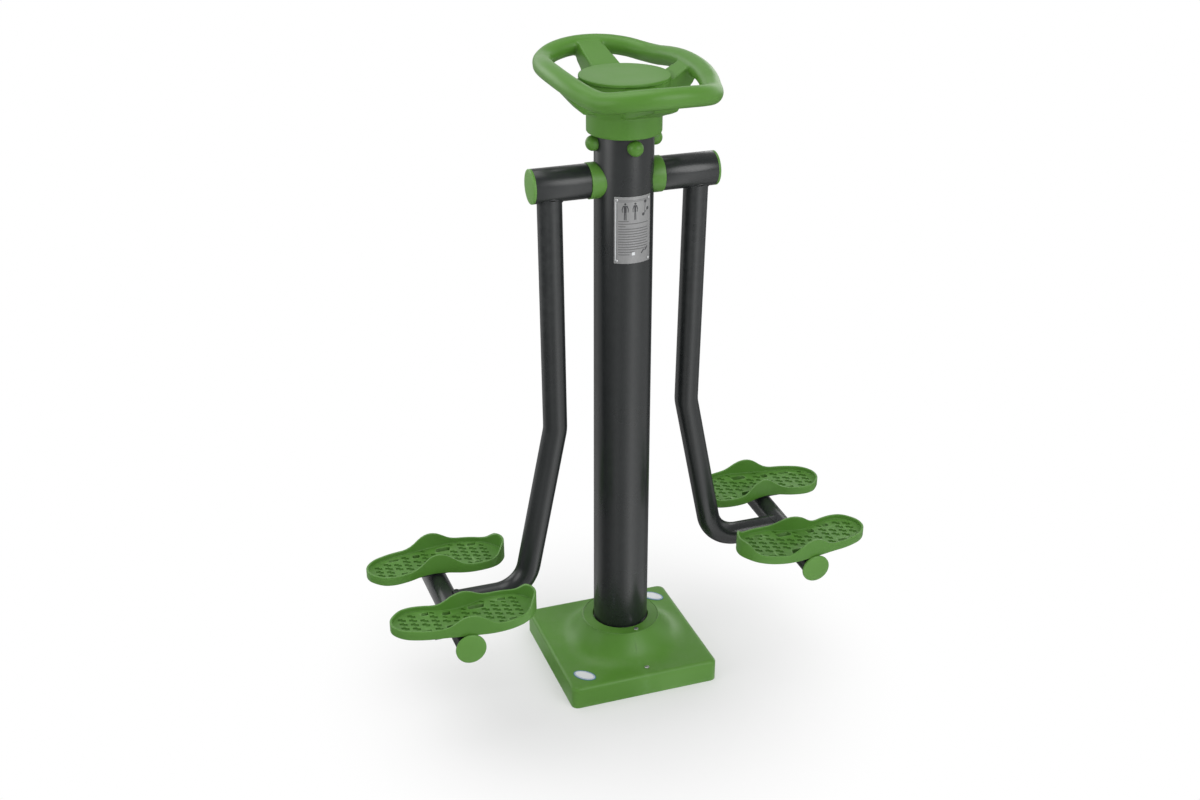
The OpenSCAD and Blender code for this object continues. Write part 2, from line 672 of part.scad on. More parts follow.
module arm_tube() color(anthracite) difference() {
    arm_run(arm_r);
    arm_run(arm_in_r);
    along_x(0, sleeve_r + seat, crossbar_x);
    translate([crossbar_x, -arm_d, crossbar_h]) rotate([-90, 0, 0])
        cylinder(r = arm_r + seat, h = 2 * arm_d, $fn = round_fn);
}

module along_bar(y, r, l) translate([crossbar_x, y, crossbar_h]) rotate([-90, 0, 0])
    cylinder(r = r, h = l, $fn = round_fn);

module crossbar() color(anthracite) difference() {
    along_bar(-bar_half_l, arm_r, 2 * bar_half_l);
    along_bar(-bar_half_l - eps, arm_in_r, 2 * bar_half_l + 2 * eps);
}

module crossbar_caps() color(green) for (side = [-1, 1]) translate([crossbar_x, 0, crossbar_h])
    rotate([side * -90, 0, 0]) {
        translate([0, 0, bar_half_l]) dome_disc(bar_cap_r, bar_cap_t - bar_cap_dome / 2, bar_cap_dome);
        translate([0, 0, bar_half_l - plug_l]) difference() {
            cylinder(r = arm_in_r - seat, h = plug_l + bar_cap_t / 2, $fn = round_fn);
            translate([0, 0, -eps])
                cylinder(r = arm_in_r - seat - plug_wall, h = plug_l + eps, $fn = round_fn);
        }
    }

module bolt_spots() for (side = [-1, 1], x = [-1, 1], y = [-1, 1])
    translate([crossbar_x + x * bolt_x, side * bracket_y + y * bolt_y, plate_low_h]) children();

module plate_brackets() color(anthracite) difference() {
    for (side = [-1, 1])
        translate([crossbar_x - bracket_l / 2, side * bracket_y - bracket_w / 2, plate_low_h - bracket_t])
            cube([bracket_l, bracket_w, bracket_t]);
    along_bar(-bar_half_l, arm_r + seat, 2 * bar_half_l);
    bolt_spots() translate([0, 0, -bracket_t - eps])
        cylinder(r = bolt_d / 2 + seat, h = bracket_t + 2 * eps, $fn = small_fn);
}

module plate_bolts() color(steel) bolt_spots() {
    translate([0, 0, -bracket_t - seat])
        cylinder(r = bolt_d / 2, h = bracket_t + seat + bolt_bite, $fn = small_fn);
    translate([0, 0, -bracket_t - bolt_head_h]) cylinder(r = bolt_head_r, h = bolt_head_h, $fn = 6);
}

// Foot plate, drawn with its toe at x = plate_l and its inner edge along y = 0

function smooth(a, b, c, d, t) = 0.5 * (2 * b + (c - a) * t + (2 * a - 5 * b + 4 * c - d) * t * t
    + (3 * b - a - 3 * c + d) * t * t * t);
plate_knots = concat([toe_shares], outer_shares, [heel_shares],
    [for (i = [len(inner_shares) - 1:-1:0]) inner_shares[i]]);
function knot(i) = plate_knots[(i + len(plate_knots)) % len(plate_knots)];
function plate_point(s) = [plate_l * (1 - s[0]), plate_w * s[1]];
plate_outline = [for (i = [0:len(plate_knots) - 1], t = [0, 0.5])
    plate_point(smooth(knot(i - 1), knot(i), knot(i + 1), knot(i + 2), t))];

module plate_side(shares, h) translate([0, plate_w + eps, 0]) rotate([90, 0, 0])
    linear_extrude(plate_w + 2 * eps) let (last = len(shares) - 1) polygon(concat(
        [for (i = [0:last - 1], t = [0, 0.5])
            let (s = smooth(shares[max(i - 1, 0)], shares[i], shares[i + 1], shares[min(i + 2, last)], t))
            [plate_l * (1 - s[0]), rim_h + (h - rim_h) * s[1]]],
        [[plate_l * (1 - shares[last][0]), rim_h + (h - rim_h) * shares[last][1]],
         [plate_l * (1 - shares[last][0]), 0],
         [plate_l * (1 - shares[0][0]), 0]]));

module slot(l, w) {
    for (side = [-1, 1]) translate([side * (l - w) / 2, 0, -eps])
        cylinder(d = w, h = floor_t + 2 * eps, $fn = 16);
    translate([(w - l) / 2, -w / 2, -eps]) cube([l - w, w, floor_t + 2 * eps]);
}

module grip_cut() linear_extrude(grip_depth + eps)
    polygon([[-grip_l / 2, 0], [0, -grip_w / 2], [grip_l / 2, 0], [0, grip_w / 2]]);

module foot_plate() difference() {
    intersection() {
        linear_extrude(heel_h + eps) polygon(plate_outline);
        union() {
            translate([-eps, -eps, 0]) cube([plate_l + 2 * eps, plate_w + 2 * eps, rim_h]);
            plate_side(wing_shares, wing_h);
            plate_side(heel_rise_shares, heel_h);
        }
    }
    translate([0, 0, floor_t]) linear_extrude(heel_h) offset(delta = -plate_wall) polygon(plate_outline);
    for (s = slot_shares) translate([plate_l * (1 - s[0]), plate_w * s[1], 0])
        slot(plate_l * s[2], plate_w * s[3]);
    for (row = grip_rows_shares, i = [0:row[2] - 1])
        translate([plate_l * (1 - row[0]), plate_w * row[1] + i * grip_pitch, floor_t - grip_depth])
            grip_cut();
    for (x = [-1, 1], y = [-1, 1])
        translate([heel_x + x * bolt_x, plate_w / 2 + y * bolt_y, -eps])
            cylinder(r = bolt_d / 2 + seat, h = bolt_bite + seat + eps, $fn = small_fn);
}

module front_plate() color(green) translate([crossbar_x - heel_x, -plate_in_y, plate_low_h])
    mirror([0, 1, 0]) foot_plate();
module rear_plate() color(green) translate([crossbar_x - heel_x, plate_in_y, plate_low_h]) foot_plate();

module left_sleeve() left_arm() sleeve();
module left_bearing_outers() left_arm() bearing_outers();
module left_sleeve_cap() left_arm() sleeve_cap();
module left_arm_tube() left_arm() arm_tube();
module left_crossbar() left_arm() crossbar();
module left_crossbar_caps() left_arm() crossbar_caps();
module left_plate_brackets() left_arm() plate_brackets();
module left_front_plate() left_arm() rear_plate();
module left_rear_plate() left_arm() front_plate();
module left_plate_bolts() left_arm() plate_bolts();
module right_sleeve() right_arm() sleeve();
module right_bearing_outers() right_arm() bearing_outers();
module right_sleeve_cap() right_arm() sleeve_cap();
module right_arm_tube() right_arm() arm_tube();
module right_crossbar() right_arm() crossbar();
module right_crossbar_caps() right_arm() crossbar_caps();
module right_plate_brackets() right_arm() plate_brackets();
module right_front_plate() right_arm() front_plate();
module right_rear_plate() right_arm() rear_plate();
module right_plate_bolts() right_arm() plate_bolts();

post();
base_flange();
flange_gussets();
axle_boss();
axle();
base_cover_left();
base_cover_right();
cover_screws();
blank_badges();
info_plate();
info_plate_rivets();
left_spacer_ring();
right_spacer_ring();
distance_rings();
bearing_inners();
bearing_balls();
axle_washers();
axle_nuts();
handwheel_insert();
handwheel_screws();
handwheel();
hub_cap();
handwheel_bolts();
bolt_caps();
left_sleeve();
left_bearing_outers();
left_sleeve_cap();
left_arm_tube();
left_crossbar();
left_crossbar_caps();
left_plate_brackets();
left_front_plate();
left_rear_plate();
left_plate_bolts();
right_sleeve();
right_bearing_outers();
right_sleeve_cap();
right_arm_tube();
right_crossbar();
right_crossbar_caps();
right_plate_brackets();
right_front_plate();
right_rear_plate();
right_plate_bolts();
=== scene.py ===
import json
import math

import bmesh
import bpy
from mathutils import Matrix, Vector

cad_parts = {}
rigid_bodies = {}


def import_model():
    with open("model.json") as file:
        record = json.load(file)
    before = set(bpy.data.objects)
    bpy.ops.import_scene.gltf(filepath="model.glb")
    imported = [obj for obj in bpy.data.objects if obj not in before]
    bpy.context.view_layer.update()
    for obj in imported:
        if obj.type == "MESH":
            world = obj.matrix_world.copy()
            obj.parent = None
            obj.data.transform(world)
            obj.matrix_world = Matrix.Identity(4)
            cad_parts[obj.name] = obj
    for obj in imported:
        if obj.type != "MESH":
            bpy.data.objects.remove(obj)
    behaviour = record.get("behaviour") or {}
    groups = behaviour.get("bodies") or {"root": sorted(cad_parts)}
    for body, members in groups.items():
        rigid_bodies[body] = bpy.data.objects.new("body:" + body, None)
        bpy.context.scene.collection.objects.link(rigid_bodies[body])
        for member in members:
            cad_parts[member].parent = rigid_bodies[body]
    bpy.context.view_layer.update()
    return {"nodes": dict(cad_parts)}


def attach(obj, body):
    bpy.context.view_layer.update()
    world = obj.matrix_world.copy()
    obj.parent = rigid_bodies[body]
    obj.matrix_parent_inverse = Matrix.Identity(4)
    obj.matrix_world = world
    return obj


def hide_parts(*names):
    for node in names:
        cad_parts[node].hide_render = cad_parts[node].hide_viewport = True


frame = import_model()

# Sizes of the walker, in metres
POST_R = 0.05715
POST_WALL = 0.004
POST_FOOT = 0.012
POST_TOP = 1.1767
COPE = 0.0002
AXLE_H = 1.079
ARM_LEAN = math.radians(2.3)
TUBE_R = 0.02415
TUBE_WALL = 0.0032
TUBE_EDGE = 0.0006
ARM_X = 0.1485
KINK_H = 0.5815
KINK_R = 0.080
CORNER_X = 0.2246
BEND_R = 0.072
BAR_X = 0.386
BAR_H = 0.2295
BAR_HALF = 0.180
BAR_CAP_R = 0.03035
SLEEVE_R = 0.0331
SLEEVE_IN = 0.0742
SLEEVE_OUT = 0.182
SLEEVE_HOLE = 0.0235
WELD_R = 0.0017
SPACER_R = 0.0348
SPACER_HOLE = 0.0234
SPACER_START = 0.0295
SPACER_L = 0.0441
SPACER_EDGE = 0.0006
PLATE_L = 0.293
PLATE_W = 0.124
PLATE_X = 0.234
PLATE_Y = 0.061
PLATE_Z = 0.256
PLATE_WALL = 0.0045
FLOOR_T = 0.010
RIM_H = 0.019
WING_H = 0.043
HEEL_H = 0.040
WHEEL_X = 0.135
WHEEL_Y = 0.2204
WHEEL_H = 1.2837
WHEEL_DIP = 0.012
WHEEL_GRAIN = 0.0023
RAIL_R = 0.019
RAIL_STEPS = 6
SKIRT_R = 0.0715
SKIRT_H = 1.1687
SKIRT_TOP = 1.212
HUB_R = 0.084
HUB_FLARE = 1.238
HUB_RIM = 1.270
HUB_TOP = 1.276
LID_R = 0.086
SPOKE_START = 0.045
SPOKE_H = 1.25
SPOKE_T = 0.04
SPOKE_CUTS = 14
SPOKE_W = 0.062
SPOKE_TAPER = 0.26
CAP_BOLT_H = 1.151
BOLT_CAP_R = 0.0146
BOLT_CAP_WALL = 0.008
BOLT_CAP_CROWN = 0.013
COVER_R = 0.1608
COVER_TOP = 0.048
COVER_COLLAR = 0.1046
COLLAR_FOOT = 0.1016
COLLAR_R = 0.082
COVER_EDGE = 0.008
FLARE_POWER = 2.8
COVER_CORNER = 0.014
SIDE_CUTS = 10
CORNER_CUTS = 6
EDGE_CUTS = 6
FLARE_CUTS = 30
COVER_WALL = 0.003
COVER_GAP = 0.0016
SEAM = 0.00004
OVAL_X = 0.122
OVAL_Y = 0.119
INFO_LOW = 0.926
INFO_H = 0.132
INFO_W = 0.078
INFO_T = 0.0015
INFO_FACE = POST_R + COPE + INFO_T
INK_T = 0.00012


# Small steps of the trade

def put_down():
    """Leaves edit mode with nothing selected."""
    if bpy.context.object and bpy.context.object.mode != "OBJECT":
        bpy.ops.object.mode_set(mode="OBJECT")
    bpy.ops.object.select_all(action="DESELECT")


def take(obj):
    """Makes one piece the one that is worked on."""
    put_down()
    obj.select_set(True)
    bpy.context.view_layer.objects.active = obj


def open_up(obj, kind="VERT"):
    """Goes into edit mode on one piece with all of it selected."""
    take(obj)
    bpy.ops.object.mode_set(mode="EDIT")
    bpy.ops.mesh.select_mode(type=kind)
    bpy.ops.mesh.select_all(action="SELECT")


def pick_faces(obj, wanted):
    """Selects the faces whose middle and normal suit wanted(middle, normal)."""
    bpy.ops.mesh.select_mode(type="FACE")
    bpy.ops.mesh.select_all(action="DESELECT")
    form = bmesh.from_edit_mesh(obj.data)
    form.faces.ensure_lookup_table()
    for face in form.faces:
        if wanted(face.calc_center_median(), face.normal):
            face.select_set(True)
    bmesh.update_edit_mesh(obj.data)


def close_up(obj):
    """Turns all faces outwards and leaves edit mode."""
    bpy.ops.mesh.select_all(action="SELECT")
    bpy.ops.mesh.normals_make_consistent(inside=False)
    put_down()


def finish_with(obj, kind, **settings):
    """Adds one modifier and applies it."""
    take(obj)
    step = obj.modifiers.new(kind.title(), kind)
    for key, value in settings.items():
        setattr(step, key, value)
    bpy.ops.object.modifier_apply(modifier=step.name)


def round_edges(obj, width, segments=3, angle=35):
    """Rounds all edges sharper than an angle."""
    finish_with(obj, "BEVEL", width=width, segments=segments, limit_method="ANGLE",
                angle_limit=math.radians(angle), harden_normals=False, use_clamp_overlap=True)


def smooth_off(obj, angle):
    """Shades a piece smooth but for edges sharper than an angle."""
    take(obj)
    bpy.ops.object.shade_smooth_by_angle(angle=math.radians(angle))


def set_down(obj):
    """Puts a piece's place into its mesh."""
    take(obj)
    bpy.ops.object.transform_apply(location=True, rotation=True, scale=True)


def carve(obj, cutter):
    """Cuts one form out of another and throws the cutter away."""
    finish_with(obj, "BOOLEAN", object=cutter, operation="DIFFERENCE", solver="EXACT")
    bpy.data.objects.remove(cutter)


def join(pieces, name):
    """Makes one piece of several."""
    put_down()
    for piece in pieces:
        piece.select_set(True)
    bpy.context.view_layer.objects.active = pieces[0]
    bpy.ops.object.join()
    whole = bpy.context.object
    whole.name = name
    return whole


def twin(obj, name, place):
    """A copy with its own mesh, moved by a matrix; a mirrored one is turned right side out."""
    other = obj.copy()
    other.data = obj.data.copy()
    other.name = name
    bpy.context.scene.collection.objects.link(other)
    other.data.transform(place)
    if place.determinant() < 0:
        open_up(other)
        bpy.ops.mesh.flip_normals()
        put_down()
    return other


def on_right(place=Matrix.Identity(4)):
    """From an arm drawn plumb on the right to the right arm as it hangs."""
    lean = (Matrix.Translation((0, 0, AXLE_H)) @ Matrix.Rotation(ARM_LEAN, 4, "X")
            @ Matrix.Translation((0, 0, -AXLE_H)))
    return lean @ place


def on_left(place=Matrix.Identity(4)):
    """The same for the left arm, which is the right one turned round the post."""
    return Matrix.Rotation(math.pi, 4, "Z") @ on_right(place)


def facing_x(x, z):
    """Turns a form about Z into one about +X that starts at x, at height z."""
    return Matrix.Translation((x, 0, z)) @ Matrix.Rotation(math.pi / 2, 4, "Y")


def turned(name, profile, sides=96, hollow=False):
    """A turned form about Z, drawn out ring by ring from a profile of (radius, height)."""
    put_down()
    radius, height = profile[0]
    bpy.ops.mesh.primitive_circle_add(vertices=sides, radius=radius, location=(0, 0, height),
                                      fill_type="NOTHING")
    obj = bpy.context.object
    obj.name = name
    open_up(obj)
    for (r0, z0), (r1, z1) in zip(profile, profile[1:]):
        bpy.ops.mesh.extrude_region_move(TRANSFORM_OT_translate={"value": (0, 0, z1 - z0)})
        bpy.ops.transform.resize(value=(r1 / r0, r1 / r0, 1), center_override=(0, 0, z1))
    bpy.ops.mesh.select_mode(type="EDGE")
    bpy.ops.mesh.select_all(action="DESELECT")
    bpy.ops.mesh.select_non_manifold()
    if hollow:
        bpy.ops.mesh.bridge_edge_loops()
    else:
        bpy.ops.mesh.fill_holes(sides=0)
    close_up(obj)
    set_down(obj)
    return obj


def pipe(name, outside, inside, low, high):
    """A length of tube about Z with both ends open."""
    obj = turned(name, [(outside, low), (outside, high), (inside, high), (inside, low)], hollow=True)
    round_edges(obj, TUBE_EDGE, 2)
    return obj


def dome(radius, low, rim, crown, steps=9):
    """Profile of a cap: a short wall and a domed face."""
    points = [(radius, low)]
    for i in range(steps):
        turn = math.pi / 2 * i / steps
        points.append((radius * math.cos(turn), low + rim + crown * math.sin(turn)))
    return points + [(radius * 0.04, low + rim + crown)]


def bent_rod(name, points, radius, closed=False, detail=10):
    """A round rod along a line of points, made a mesh."""
    put_down()
    line = bpy.data.curves.new(name, "CURVE")
    line.dimensions = "3D"
    line.bevel_depth = radius
    line.bevel_resolution = detail
    line.use_fill_caps = not closed
    run = line.splines.new("POLY")
    run.points.add(len(points) - 1)
    for spot, point in zip(run.points, points):
        spot.co = (*point, 1)
    run.use_cyclic_u = closed
    obj = bpy.data.objects.new(name, line)
    bpy.context.scene.collection.objects.link(obj)
    take(obj)
    bpy.ops.object.convert(target="MESH")
    obj = bpy.context.object
    obj.name = name
    open_up(obj)
    bpy.ops.mesh.remove_doubles(threshold=0.00001)
    close_up(obj)
    return obj


def between(table, place):
    """Reads a value from a table of (place, value) pairs."""
    if place <= table[0][0]:
        return table[0][1]
    for (a, u), (b, v) in zip(table, table[1:]):
        if place <= b:
            return u + (v - u) * (place - a) / (b - a)
    return table[-1][1]


def flowing(points, steps, closed=True):
    """A smooth line through the given points."""
    n = len(points)
    line = []
    for i in range(n if closed else n - 1):
        a, b, c, d = (points[(i + k) % n] if closed else points[min(max(i + k, 0), n - 1)]
                      for k in (-1, 0, 1, 2))
        for s in range(steps):
            t = s / steps
            line.append(tuple(0.5 * (2 * b[j] + (c[j] - a[j]) * t
                                     + (2 * a[j] - 5 * b[j] + 4 * c[j] - d[j]) * t * t
                                     + (3 * b[j] - a[j] - 3 * c[j] + d[j]) * t ** 3)
                              for j in range(len(b))))
    if not closed:
        line.append(tuple(points[-1]))
    return line


# Shader node groups

def new_group(name, inputs, outputs):
    """An empty shader group with named float or colour sockets."""
    group = bpy.data.node_groups.new(name, "ShaderNodeTree")
    for label, kind, value in inputs:
        socket = group.interface.new_socket(label, in_out="INPUT", socket_type=kind)
        socket.default_value = value
    for label, kind in outputs:
        group.interface.new_socket(label, in_out="OUTPUT", socket_type=kind)
    return group, group.nodes.new("NodeGroupInput"), group.nodes.new("NodeGroupOutput")


def add(tree, kind, **values):
    """One node, with its properties and unlinked inputs set."""
    node = tree.nodes.new(kind)
    for key, value in values.items():
        if hasattr(node, key) and not key[0].isupper():
            setattr(node, key, value)
        else:
            node.inputs[key.replace("_", " ")].default_value = value
    return node


def wire(tree, out, into):
    """Links one socket to another."""
    tree.links.new(out, into)


def sums(tree, operation, first, second=None, clamp=False):
    """A Math node of two values or sockets."""
    node = tree.nodes.new("ShaderNodeMath")
    node.operation = operation
    node.use_clamp = clamp
    for slot, value in zip(node.inputs, (first, second)):
        if value is None:
            continue
        if isinstance(value, (int, float)):
            slot.default_value = value
        else:
            tree.links.new(value, slot)
    return node.outputs[0]


def spread(tree, value, low, high, to_low=0.0, to_high=1.0):
    """Maps a value from one range to another, softly and clamped."""
    node = tree.nodes.new("ShaderNodeMapRange")
    node.interpolation_type = "SMOOTHSTEP"
    for slot, number in zip(("From Min", "From Max", "To Min", "To Max"), (low, high, to_low, to_high)):
        node.inputs[slot].default_value = number
    tree.links.new(value, node.inputs["Value"])
    return node.outputs["Result"]


def blend_colours(tree, share, first, second):
    """Mixes two colours or sockets by a share."""
    node = tree.nodes.new("ShaderNodeMix")
    node.data_type = "RGBA"
    for slot, value in ((node.inputs["Factor"], share), (node.inputs["A"], first),
                        (node.inputs["B"], second)):
        if isinstance(value, (int, float, tuple)):
            slot.default_value = value if not isinstance(value, tuple) else (*value[:3], 1)
        else:
            tree.links.new(value, slot)
    return node.outputs["Result"]


def make_grain():
    """Fine pimples of a moulded or sprayed surface, as a height, and a slow mottle."""
    group, inside, outside = new_group(
        "surface grain",
        [("Fine Scale", "NodeSocketFloat", 900), ("Slow Scale", "NodeSocketFloat", 9)],
        [("Height", "NodeSocketFloat"), ("Mottle", "NodeSocketFloat")])
    place = group.nodes.new("ShaderNodeTexCoord")
    fine = add(group, "ShaderNodeTexNoise", Detail=2.0, Roughness=0.6)
    wire(group, place.outputs["Object"], fine.inputs["Vector"])
    wire(group, inside.outputs["Fine Scale"], fine.inputs["Scale"])
    pits = add(group, "ShaderNodeTexVoronoi", feature="SMOOTH_F1")
    wire(group, place.outputs["Object"], pits.inputs["Vector"])
    wire(group, inside.outputs["Fine Scale"], pits.inputs["Scale"])
    slow = add(group, "ShaderNodeTexNoise", Detail=4.0, Roughness=0.55)
    wire(group, place.outputs["Object"], slow.inputs["Vector"])
    wire(group, inside.outputs["Slow Scale"], slow.inputs["Scale"])
    wire(group, sums(group, "ADD", sums(group, "MULTIPLY", fine.outputs["Fac"], 0.6),
                     sums(group, "MULTIPLY", pits.outputs["Distance"], 0.4)),
         outside.inputs["Height"])
    wire(group, spread(group, slow.outputs["Fac"], 0.3, 0.7), outside.inputs["Mottle"])
    return group


def make_edge_wear_highlight_and_shade():
    """Where outer edges are rubbed, broken up by noise, a mask that also paints edge highlights; and a
    mask of hollows that paints shade into crevices.
    """
    group, inside, outside = new_group(
        "rubbed edges, edge highlight and crevice shade",
        [("Amount", "NodeSocketFloat", 0.5), ("Break Up", "NodeSocketFloat", 60)],
        [("Wear And Highlight", "NodeSocketFloat"), ("Crevice Shade", "NodeSocketFloat")])
    shape = group.nodes.new("ShaderNodeNewGeometry")
    place = group.nodes.new("ShaderNodeTexCoord")
    patch = add(group, "ShaderNodeTexNoise", Detail=5.0, Roughness=0.6)
    wire(group, place.outputs["Object"], patch.inputs["Vector"])
    wire(group, inside.outputs["Break Up"], patch.inputs["Scale"])
    edges = spread(group, shape.outputs["Pointiness"], 0.515, 0.60)
    broken = spread(group, patch.outputs["Fac"], 0.35, 0.65, 0.25, 1.0)
    wear_and_highlight = sums(group, "MULTIPLY", sums(group, "MULTIPLY", edges, broken), inside.outputs["Amount"],
                clamp=True)
    wire(group, wear_and_highlight, outside.inputs["Wear And Highlight"])
    wire(group, spread(group, shape.outputs["Pointiness"], 0.49, 0.42), outside.inputs["Crevice Shade"])
    return group


def make_dust():
    """Dust that settles on what faces up, more of it near the ground."""
    group, inside, outside = new_group(
        "settled dust",
        [("Amount", "NodeSocketFloat", 0.3), ("Ground Height", "NodeSocketFloat", 0.25)],
        [("Dust", "NodeSocketFloat")])
    shape = group.nodes.new("ShaderNodeNewGeometry")
    place = group.nodes.new("ShaderNodeTexCoord")
    split = group.nodes.new("ShaderNodeSeparateXYZ")
    wire(group, shape.outputs["Normal"], split.inputs["Vector"])
    height = group.nodes.new("ShaderNodeSeparateXYZ")
    wire(group, place.outputs["Object"], height.inputs["Vector"])
    patch = add(group, "ShaderNodeTexNoise", Scale=26.0, Detail=6.0, Roughness=0.7)
    wire(group, place.outputs["Object"], patch.inputs["Vector"])
    faces_up = spread(group, split.outputs["Z"], 0.55, 1.0)
    low_share = sums(group, "DIVIDE", height.outputs["Z"], inside.outputs["Ground Height"])
    low = spread(group, low_share, 1.0, 0.0, 0.35, 1.0)
    cloud = spread(group, patch.outputs["Fac"], 0.38, 0.72)
    wire(group, sums(group, "MULTIPLY", sums(group, "MULTIPLY", faces_up, low),
                     sums(group, "MULTIPLY", cloud, inside.outputs["Amount"]), clamp=True),
         outside.inputs["Dust"])
    return group


DUST_COLOUR = (0.36, 0.34, 0.30)
DUST_HEIGHT = 0.3
DUST_ROUGH = 0.3
MOTTLE_SCALE = 7.0
MOTTLE_ROUGH = 0.08
WEAR_SCALE = 70.0
# Painted shade in crevices: how much of it, and how dark it is against the colour
CREVICE_SHADE = 0.35
CREVICE_SHADE_TONE = 0.45
GRAIN_DEPTH = 0.0004
GRAIN = make_grain()
EDGE_WEAR_HIGHLIGHT_AND_SHADE = make_edge_wear_highlight_and_shade()
DUST = make_dust()


def group_node(tree, group, **values):
    """A node that uses one of the groups, with its inputs set."""
    node = tree.nodes.new("ShaderNodeGroup")
    node.node_tree = group
    for key, value in values.items():
        node.inputs[key.replace("_", " ")].default_value = value
    return node


def coated(name, colour, second, rough, fine, bump, wear_and_highlight, wear_and_highlight_colour, dust, metallic=0.0,
           specular=0.5):
    """A finish with mottled colour, grain, rubbed edges that also paint a highlight where strong and
    pale, painted shade in crevices, and dust.
    """
    stuff = bpy.data.materials.new(name)
    stuff.use_nodes = True
    tree = stuff.node_tree
    shader = tree.nodes["Principled BSDF"]
    shader.inputs["Metallic"].default_value = metallic
    shader.inputs["Specular IOR Level"].default_value = specular
    grain = group_node(tree, GRAIN, Fine_Scale=fine, Slow_Scale=MOTTLE_SCALE)
    rub_and_highlight = group_node(tree, EDGE_WEAR_HIGHLIGHT_AND_SHADE, Amount=wear_and_highlight, Break_Up=WEAR_SCALE)
    settled = group_node(tree, DUST, Amount=dust, Ground_Height=DUST_HEIGHT)
    base = blend_colours(tree, grain.outputs["Mottle"], colour, second)
    base = blend_colours(tree, rub_and_highlight.outputs["Wear And Highlight"], base, wear_and_highlight_colour)
    # Painted shade: hollows darkened towards a dimmer copy of the colour
    shade = sums(tree, "MULTIPLY", rub_and_highlight.outputs["Crevice Shade"], CREVICE_SHADE)
    base = blend_colours(tree, shade, base, tuple(CREVICE_SHADE_TONE * c for c in colour))
    base = blend_colours(tree, settled.outputs["Dust"], base, DUST_COLOUR)
    wire(tree, base, shader.inputs["Base Color"])
    dull = sums(tree, "ADD", sums(tree, "MULTIPLY", grain.outputs["Mottle"], MOTTLE_ROUGH), rough)
    dull = sums(tree, "ADD", dull, sums(tree, "MULTIPLY", settled.outputs["Dust"], DUST_ROUGH),
                clamp=True)
    wire(tree, dull, shader.inputs["Roughness"])
    relief = add(tree, "ShaderNodeBump", Strength=bump, Distance=GRAIN_DEPTH)
    wire(tree, grain.outputs["Height"], relief.inputs["Height"])
    wire(tree, relief.outputs["Normal"], shader.inputs["Normal"])
    return stuff


ANTHRACITE = coated("anthracite powder coat", (0.0135, 0.0158, 0.0165), (0.0155, 0.018, 0.0187), 0.25,
                    750.0, 0.05, 0.25, (0.07, 0.075, 0.075), 0.03)
GREEN = coated("green moulded plastic", (0.088, 0.235, 0.030), (0.094, 0.248, 0.033), 0.36,
               1100.0, 0.10, 0.22, (0.22, 0.40, 0.15), 0.07, specular=0.34)
# A lighter copy of the green plastic for the sleeve lids and bar buttons: painted extra light on the
# caps
GREEN_CAP_LIT = coated("green cap plastic, painted light", (0.110, 0.272, 0.047), (0.116, 0.284, 0.050), 0.36,
                   1100.0, 0.10, 0.22, (0.24, 0.42, 0.17), 0.07, specular=0.34)
# The tread's strong, pale edge wear paints highlights along its rim edges as well as wear
GREEN_TREAD = coated("green plastic tread", (0.080, 0.222, 0.028), (0.088, 0.240, 0.031), 0.42,
                     1100.0, 0.14, 0.8, (0.26, 0.44, 0.18), 0.12, specular=0.42)
# A darker green for the floors of the tread's marks: painted shade in the recesses
GREEN_RECESS_SHADE = coated("green tread recess shade", (0.050, 0.152, 0.015), (0.056, 0.166, 0.017), 0.5,
                      1100.0, 0.14, 0.0, (0.24, 0.40, 0.16), 0.0, specular=0.25)
ZINC = coated("zinc plated steel", (0.56, 0.57, 0.58), (0.66, 0.66, 0.66), 0.30,
              1600.0, 0.10, 0.2, (0.75, 0.75, 0.75), 0.2, metallic=1.0)
GREY_PLATE = coated("printed grey sheet", (0.270, 0.272, 0.274), (0.290, 0.291, 0.294), 0.42,
                    1800.0, 0.05, 0.5, (0.5, 0.5, 0.5), 0.0, metallic=0.25)
INK = coated("grey print", (0.045, 0.046, 0.05), (0.06, 0.061, 0.065), 0.55,
             1800.0, 0.04, 0.0, (0.2, 0.2, 0.2), 0.0)
PALE_INK = coated("pale grey print", (0.120, 0.121, 0.124), (0.135, 0.136, 0.139), 0.5,
                  1800.0, 0.04, 0.0, (0.2, 0.2, 0.2), 0.0)
OVAL = coated("blank pale sticker", (0.74, 0.77, 0.79), (0.80, 0.82, 0.83), 0.30,
              1500.0, 0.03, 0.2, (0.9, 0.9, 0.9), 0.1)
OVAL_RIM = coated("blue sticker rim", (0.035, 0.16, 0.33), (0.045, 0.19, 0.37), 0.32,
                  1500.0, 0.03, 0.0, (0.3, 0.4, 0.5), 0.1)


def hand_in(obj, name, body, stuff, replaced=(), angle=35):
    """Finishes a piece: place, name, smooth shading, the body that it rides on and its finish,
    unless it has its finishes already."""
    set_down(obj)
    obj.name = name
    obj.data.name = name
    smooth_off(obj, angle)
    if stuff:
        obj.data.materials.clear()
        obj.data.materials.append(stuff)
    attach(obj, body)
    if replaced:
        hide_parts(*replaced)


# Post and axle

def make_post():
    """The post, an open tube."""
    post = turned("post", [(POST_R - POST_WALL, POST_FOOT), (POST_R, POST_FOOT), (POST_R, POST_TOP),
                           (POST_R - POST_WALL, POST_TOP)], sides=128, hollow=True)
    round_edges(post, 0.0008, 2)
    hand_in(post, "post_tube", "stand", ANTHRACITE, ["post"])


def cope(obj, height):
    """Cuts a piece to the curve of the post at a height."""
    put_down()
    bpy.ops.mesh.primitive_cylinder_add(vertices=128, radius=POST_R + COPE, depth=0.3,
                                        location=(0, 0, height))
    carve(obj, bpy.context.object)


